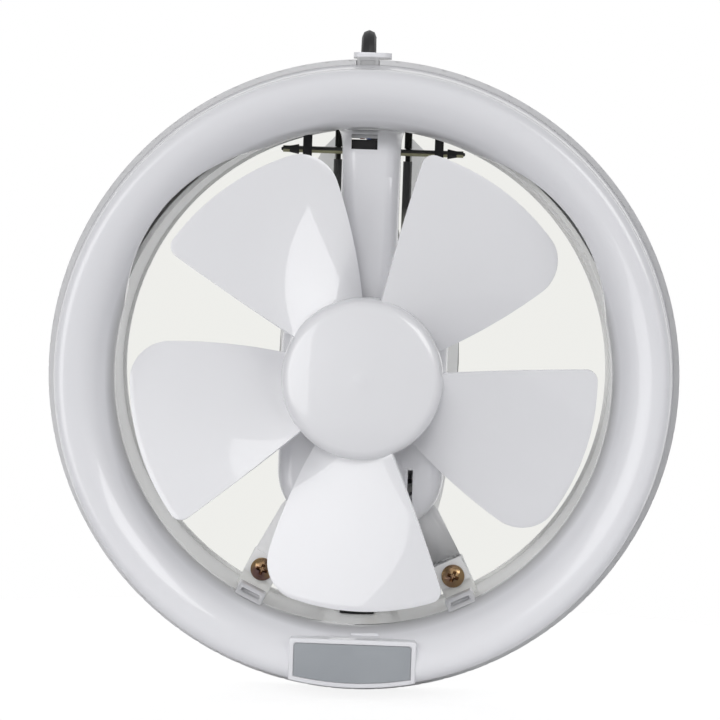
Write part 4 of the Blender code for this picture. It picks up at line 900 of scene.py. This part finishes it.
inside = [(hub_radius, hub_rear), (hub_radius - hub_wall, hub_rear),
          (hub_radius - hub_wall, shoulder[-1][1] + 0.0003), (flat - 0.001, hub_front + hub_rise + hub_wall),
          (boss_radius, hub_front + 0.003), (boss_radius, boss_rear), (shaft_radius, boss_rear),
          (shaft_radius, shaft_front), (0.0, shaft_front)]
hub = finish_piece("hub_dome", spun(bump_top + dome + shoulder[1:] + inside, 160, closed=False), blade_white,
                   "rotor", stands_for=["impeller"])
print("hub faces:", len(hub.data.polygons))

# %% [markdown]
# ## The blades
#
# A blade starts as a flat grid, and each of its points is moved to its place on the twisted sheet: the
# columns go from the front edge to the rear edge, closer together near both, and the rows from the hub to
# the tip. The two outer corners are rounded off by a formula, and Solidify gives the sheet its 1.6 mm.

# %% Sweep the blades
blade_count, tip_radius, blade_thickness = 5, 0.1010, 0.0016
front_angle, rear_angle, tip_front_angle, tip_rear_angle = 6.2, -50.9, 4.4, -42.5
root_front, root_rear, tip_front, tip_rear = -0.0410, -0.0205, -0.0405, -0.0235
front_corner, rear_corner, camber = 0.005, 0.0155, 0.25
root_radius = hub_radius - hub_wall * 0.6
chord = tip_radius * math.radians(tip_front_angle - tip_rear_angle)


def corner_loss(distance_in, radius):
    """How far a rounded corner stays below the tip circle."""
    if distance_in >= radius:
        return 0.0
    return radius - math.sqrt(max(0.0, radius ** 2 - (radius - distance_in) ** 2))


def blade_sheet(columns=64, rows=28):
    """One blade as a sheet, in the place of the first one."""
    builder = bmesh.new()
    bmesh.ops.create_grid(builder, x_segments=columns, y_segments=rows, size=0.5)
    for vertex in builder.verts:
        v = 0.5 - 0.5 * math.cos(math.pi * (vertex.co.x + 0.5))
        u = vertex.co.y + 0.5
        tip = tip_radius - corner_loss(v * chord, front_corner) - corner_loss((1 - v) * chord, rear_corner)
        radius = root_radius + (tip - root_radius) * u
        share = (radius - root_radius) / (tip_radius - root_radius)
        start = front_angle + (tip_front_angle - front_angle) * share
        end = rear_angle + (tip_rear_angle - rear_angle) * share
        rear = root_rear + (tip_rear - root_rear) * share
        front = root_front + (tip_front - root_front) * share
        y = front + (rear - front) * ((1 - camber) * v + camber * v * v)
        x, z = around(radius, start + (end - start) * v)
        vertex.co = Vector((x, y, z))
    bmesh.ops.recalc_face_normals(builder, faces=builder.faces)
    return builder


for index in range(blade_count):
    sheet = turned(blade_sheet(), -360 / blade_count * index)
    blade = finish_piece(f"blade_{index + 1}", sheet, blade_white, "rotor", 60.0)
    soften(thicken(blade, blade_thickness, 0.0), 0.0004, 2, 60.0)
print("blades:", blade_count)

# %% [markdown]
# ## Screws that show
#
# The two screws in the feet are yellow-plated pan heads. The head is a spun dome, and the cross recess is
# two thin wedges cut from it.

# %% Turn the foot screws
head_seat, head_radius, head_height = 0.0115, 0.00515, 0.003
shank_radius, shank_end = 0.00195, head_seat + 0.0120
recess_deep, recess_middle, recess_foot, recess_mouth, recess_flat = 0.8, 0.72, 0.30, 0.90, 0.27


def pan_head(name, x, z, node_name):
    """A pan-head screw along Y with a cross recess."""
    profile = [(0.0, head_seat - head_height)]
    for degrees in range(10, 91, 10):
        t = math.radians(degrees)
        profile.append((head_radius * (0.8 * math.sin(t) + 0.2 * degrees / 90),
                        head_seat - head_height * (0.25 + 0.75 * math.cos(t))))
    profile += [(head_radius, head_seat), (shank_radius, head_seat), (shank_radius, shank_end),
                (0.0, shank_end)]
    piece = finish_piece(name, spun(profile, 48, closed=False, axis_at=(x, z)), yellow_zinc,
                         stands_for=[node_name])
    tools = []
    for degrees in (20, 110):
        wedge = bmesh.new()
        bmesh.ops.create_cone(wedge, cap_ends=True, segments=4, radius1=head_radius * recess_foot,
                              radius2=head_radius * recess_mouth, depth=head_height * recess_deep)
        turned(wedge, 45, "Z")
        bmesh.ops.scale(wedge, verts=wedge.verts, vec=(1.0, recess_flat, 1.0))
        turned(turned(wedge, 90, "X"), degrees)
        bmesh.ops.translate(wedge, verts=wedge.verts, vec=(x, head_seat - head_height * recess_middle, z))
        bmesh.ops.recalc_face_normals(wedge, faces=wedge.faces)
        tools.append(wedge)
    carve(piece, tools)


for name, side_sign in (("left_foot_screw", -1), ("right_foot_screw", 1)):
    x, z = around(foot_radius, -90 + side_sign * foot_angle)
    pan_head(name + "_dressed", x, z, name)
print("foot screws turned")

# %% [markdown]
# ## Pieces whose solid is already right
#
# Straps, posts, clips, flaps, the motor and its brackets are simple solids. Each is copied, welded, given
# soft edges, and dressed in its own finish. Faces in one plane are merged first, apart from those of the
# legs and flaps, whose folds are so shallow that merging or smooth shading would lose them.

# %% Dress the simple pieces
dressed = (
    (strap_grey, 0.0003, "left_leg right_leg"),
    (gloss_white, 0.0004, "motor_cover"),
    (dark_steel, 0.0, "hinge_post_left hinge_post_right"),
    (olive_rod, 0.0, "stop_rod"),
    (black_moulding, 0.0002, "rod_clip_left rod_clip_right"),
    (flap_white, 0.0, "shutter_flap_left shutter_flap_right"),
    (black_moulding, 0.0003, "terminal_block"),
    (grommet_white, 0.0011, "cord_grommet"),
    (soft_black, 0.0003, "cord_tie"),
    (soft_black, 0.0006, "plug_body"),
    (pin_brass, 0.0003, "plug_pin_left plug_pin_right"),
    (stacked_core, 0.0001, "stator_core"),
    (stacked_core, 0.0002, "rotor_core"),
    (natural_nylon, 0.0002, "coil_bobbin"),
    (amber_tape, 0.0008, "coil_winding"),
    (cast_aluminium, 0.0004, "front_bearing_bracket rear_bearing_bracket"),
    (sintered_bronze, 0.0001, "front_bush rear_bush"),
    (ground_steel, 0.0003, "rotor_shaft"),
    (ground_steel, 0.0001, "hub_clip"),
    (bright_zinc, 0.0001, "motor_screw_left motor_screw_right"),
    (bright_zinc, 0.0001, "cover_screw_1 cover_screw_2 cover_screw_3 cover_screw_4"),
    (brown_wire, 0.0, "motor_wire_left"),
    (blue_wire, 0.0, "motor_wire_right"),
    (brown_wire, 0.0, "supply_wire_left"),
    (blue_wire, 0.0, "supply_wire_right"),
    (soft_black, 0.0002, "sleeve_bumper"),
)
for look, edge, names in dressed:
    for name in names.split():
        flap, leg = "flap" in name, "leg" in name
        carried_over(name, look, edge, 8.0 if flap else 35.0, not (flap or leg))
print("dressed:", sum(len(names.split()) for look, edge, names in dressed))

# %% [markdown]
# ## Caps and collars
#
# The rod ends in two dark cones, and each post has a collar where it meets the sleeve. Both are short bars,
# one along X and one along Z.

# %% Add the caps and the collars
cap_inner, cap_outer, cap_wide, cap_narrow = 0.0335, 0.0415, 0.0023, 0.0007
collar_low, collar_high, collar_radius = 0.1002, 0.1086, 0.0017
for name, side_sign in (("rod_cap_left", -1), ("rod_cap_right", 1)):
    inner, outer = side_sign * cap_inner, side_sign * cap_outer
    cap = cylinder((inner, rod_y, rod_z), (outer, rod_y, rod_z), cap_wide, 32, cap_narrow)
    soften(finish_piece(name + "_dressed", cap, soft_black, stands_for=[name]), 0.0003)
for name, x in (("left_post_collar", -hinge_x), ("right_post_collar", hinge_x)):
    collar = cylinder((x, hinge_y, collar_low), (x, hinge_y, collar_high), collar_radius, 32)
    soften(finish_piece(name, collar, dark_steel), 0.0002)
print("caps and collars done")

# %% [markdown]
# ## The cord's route
#
# The cord leaves the rim through a black elbow, passes over the ring and hangs behind the fan, folded into a
# tied hank, with its plug below. A few points give its route, and a smooth curve through them is cut into
# even steps.

# %% Route the cord to the hank
cord_radius, cord_x, boot_end, boot_top = 0.003, -0.0028, 0.004, 0.148
over_the_ring = ((boot_end + 0.0003, boot_top), (0.0080, boot_top), (0.0125, 0.1474), (0.0195, 0.1415),
                 (0.0255, 0.1305), (0.0320, 0.1215), (0.0410, 0.1175))
route = [(cord_x, y, z) for y, z in over_the_ring]
route += [(-0.0022, 0.0510, 0.1160), (-0.0012, 0.0600, 0.1100), (-0.0004, 0.0650, 0.0995),
          (-0.0012, 0.0680, 0.0870), (-0.0055, 0.0725, 0.0740), (-0.0094, 0.0758, 0.0620),
          (-0.0099, 0.0760, 0.0550), (-0.0099, 0.0760, 0.0493)]


def smooth_route(points, spacing):
    """Points at an even spacing on a smooth curve through the route's own points."""
    points = [Vector(point) for point in points]
    ends = [2 * points[0] - points[1]] + points + [2 * points[-1] - points[-2]]
    fine = []
    for before, start, finish, after in zip(ends, ends[1:], ends[2:], ends[3:]):
        for step in range(24):
            t = step / 24
            bend = 2 * before - 5 * start + 4 * finish - after
            swing = 3 * start - before - 3 * finish + after
            fine.append(0.5 * (2 * start + (finish - before) * t + bend * t ** 2 + swing * t ** 3))
    fine.append(points[-1])
    length = sum((second - first).length for first, second in zip(fine, fine[1:]))
    count = max(2, round(length / spacing))
    even_points, travelled = [fine[0]], 0.0
    for first, second in zip(fine, fine[1:]):
        travelled += (second - first).length
        if travelled >= length * len(even_points) / count and len(even_points) < count:
            even_points.append(second)
    even_points.append(fine[-1])
    return even_points


to_the_hank = smooth_route(route, 0.004)
print("points to the hank:", len(to_the_hank))

# %% [markdown]
# ## The hank
#
# Each run of the hank is the same list of heights and half widths, taken down on the rear side and up on the
# front side, and a half turn joins it to the next. The last run leads into a short tail with the plug.

# %% Fold the hank and lead out the tail
hank_runs, hank_pitch, hank_top, hank_bottom = 4, 0.0066, 0.049, -0.041
hank_half, hank_waist, hank_y, tie_half, hank_end = 0.013, 0.0036, 0.063, 0.0052, 0.006
plug_x, tail_length = 0.005, 0.026
hank_middle = (hank_top + hank_bottom) / 2
far = (hank_top - hank_middle) * 0.52
swell = hank_waist + (hank_half - hank_waist) * 0.72
levels = [(hank_top, hank_half), (hank_top - hank_end, hank_half), (hank_middle + far, swell),
          (hank_middle + tie_half, hank_waist), (hank_middle - tie_half, hank_waist),
          (hank_middle - far, swell), (hank_bottom + hank_end, hank_half), (hank_bottom, hank_half)]
hank = []
for run in range(2 * hank_runs - 1):
    behind = run % 2 == 0
    start_x = hank_pitch * (run // 2 - (hank_runs - 1) / 2)
    for z, half in levels if behind else reversed(levels):
        share_up = (z - hank_bottom) / (hank_top - hank_bottom)
        x = start_x if behind else start_x + hank_pitch * share_up
        hank.append(Vector((x, hank_y + half * (1 if behind else -1), z)))
    if run == 2 * hank_runs - 2:
        break
    x, end_z = hank[-1].x, hank_bottom if behind else hank_top
    for step in range(1, 10):
        a = math.radians(18 * step)
        hank.append(Vector((x, hank_y + math.cos(a) * hank_half * (1 if behind else -1),
                            end_z + math.sin(a) * hank_half * (-1 if behind else 1))))
last = hank[-1]
plug_top = last.z - tail_length
tail = [last, last + Vector((0, 0, -0.007)), last + Vector((-0.0005, 0, -0.013)),
        Vector((plug_x + 0.0015, last.y, plug_top + 0.007)), Vector((plug_x, last.y, plug_top + 0.003)),
        Vector((plug_x, last.y, plug_top + 0.0003))]
into_boot = Vector((cord_x, boot_end - 0.002, boot_top))
cord_points = [into_boot] + to_the_hank[:-1] + hank + smooth_route(tail, 0.003)[1:]

# %% [markdown]
# ## The cord itself
#
# A curve with a round bevel is the plainest way to a cord: the points stay its spine, and its thickness is
# one number. It starts 2 mm inside the boot, so that no light shows at the joint.

# %% Draw the cord
line = bpy.data.curves.new("flex", "CURVE")
line.dimensions = "3D"
line.bevel_depth = cord_radius
line.bevel_resolution = 4
line.use_fill_caps = True
spline = line.splines.new("POLY")
spline.points.add(len(cord_points) - 1)
for point, place in zip(spline.points, cord_points):
    point.co = (*place, 1.0)
spline.use_smooth = True
flex = bpy.data.objects.new("flex", line)
scene.collection.objects.link(flex)
line.materials.append(cord_black)
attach(flex, "frame")
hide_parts("cord_lead", "cord_hank", "cord_tail")
carried_over("cord_boot", cord_black, 0.0002, 50.0)
print("cord drawn")
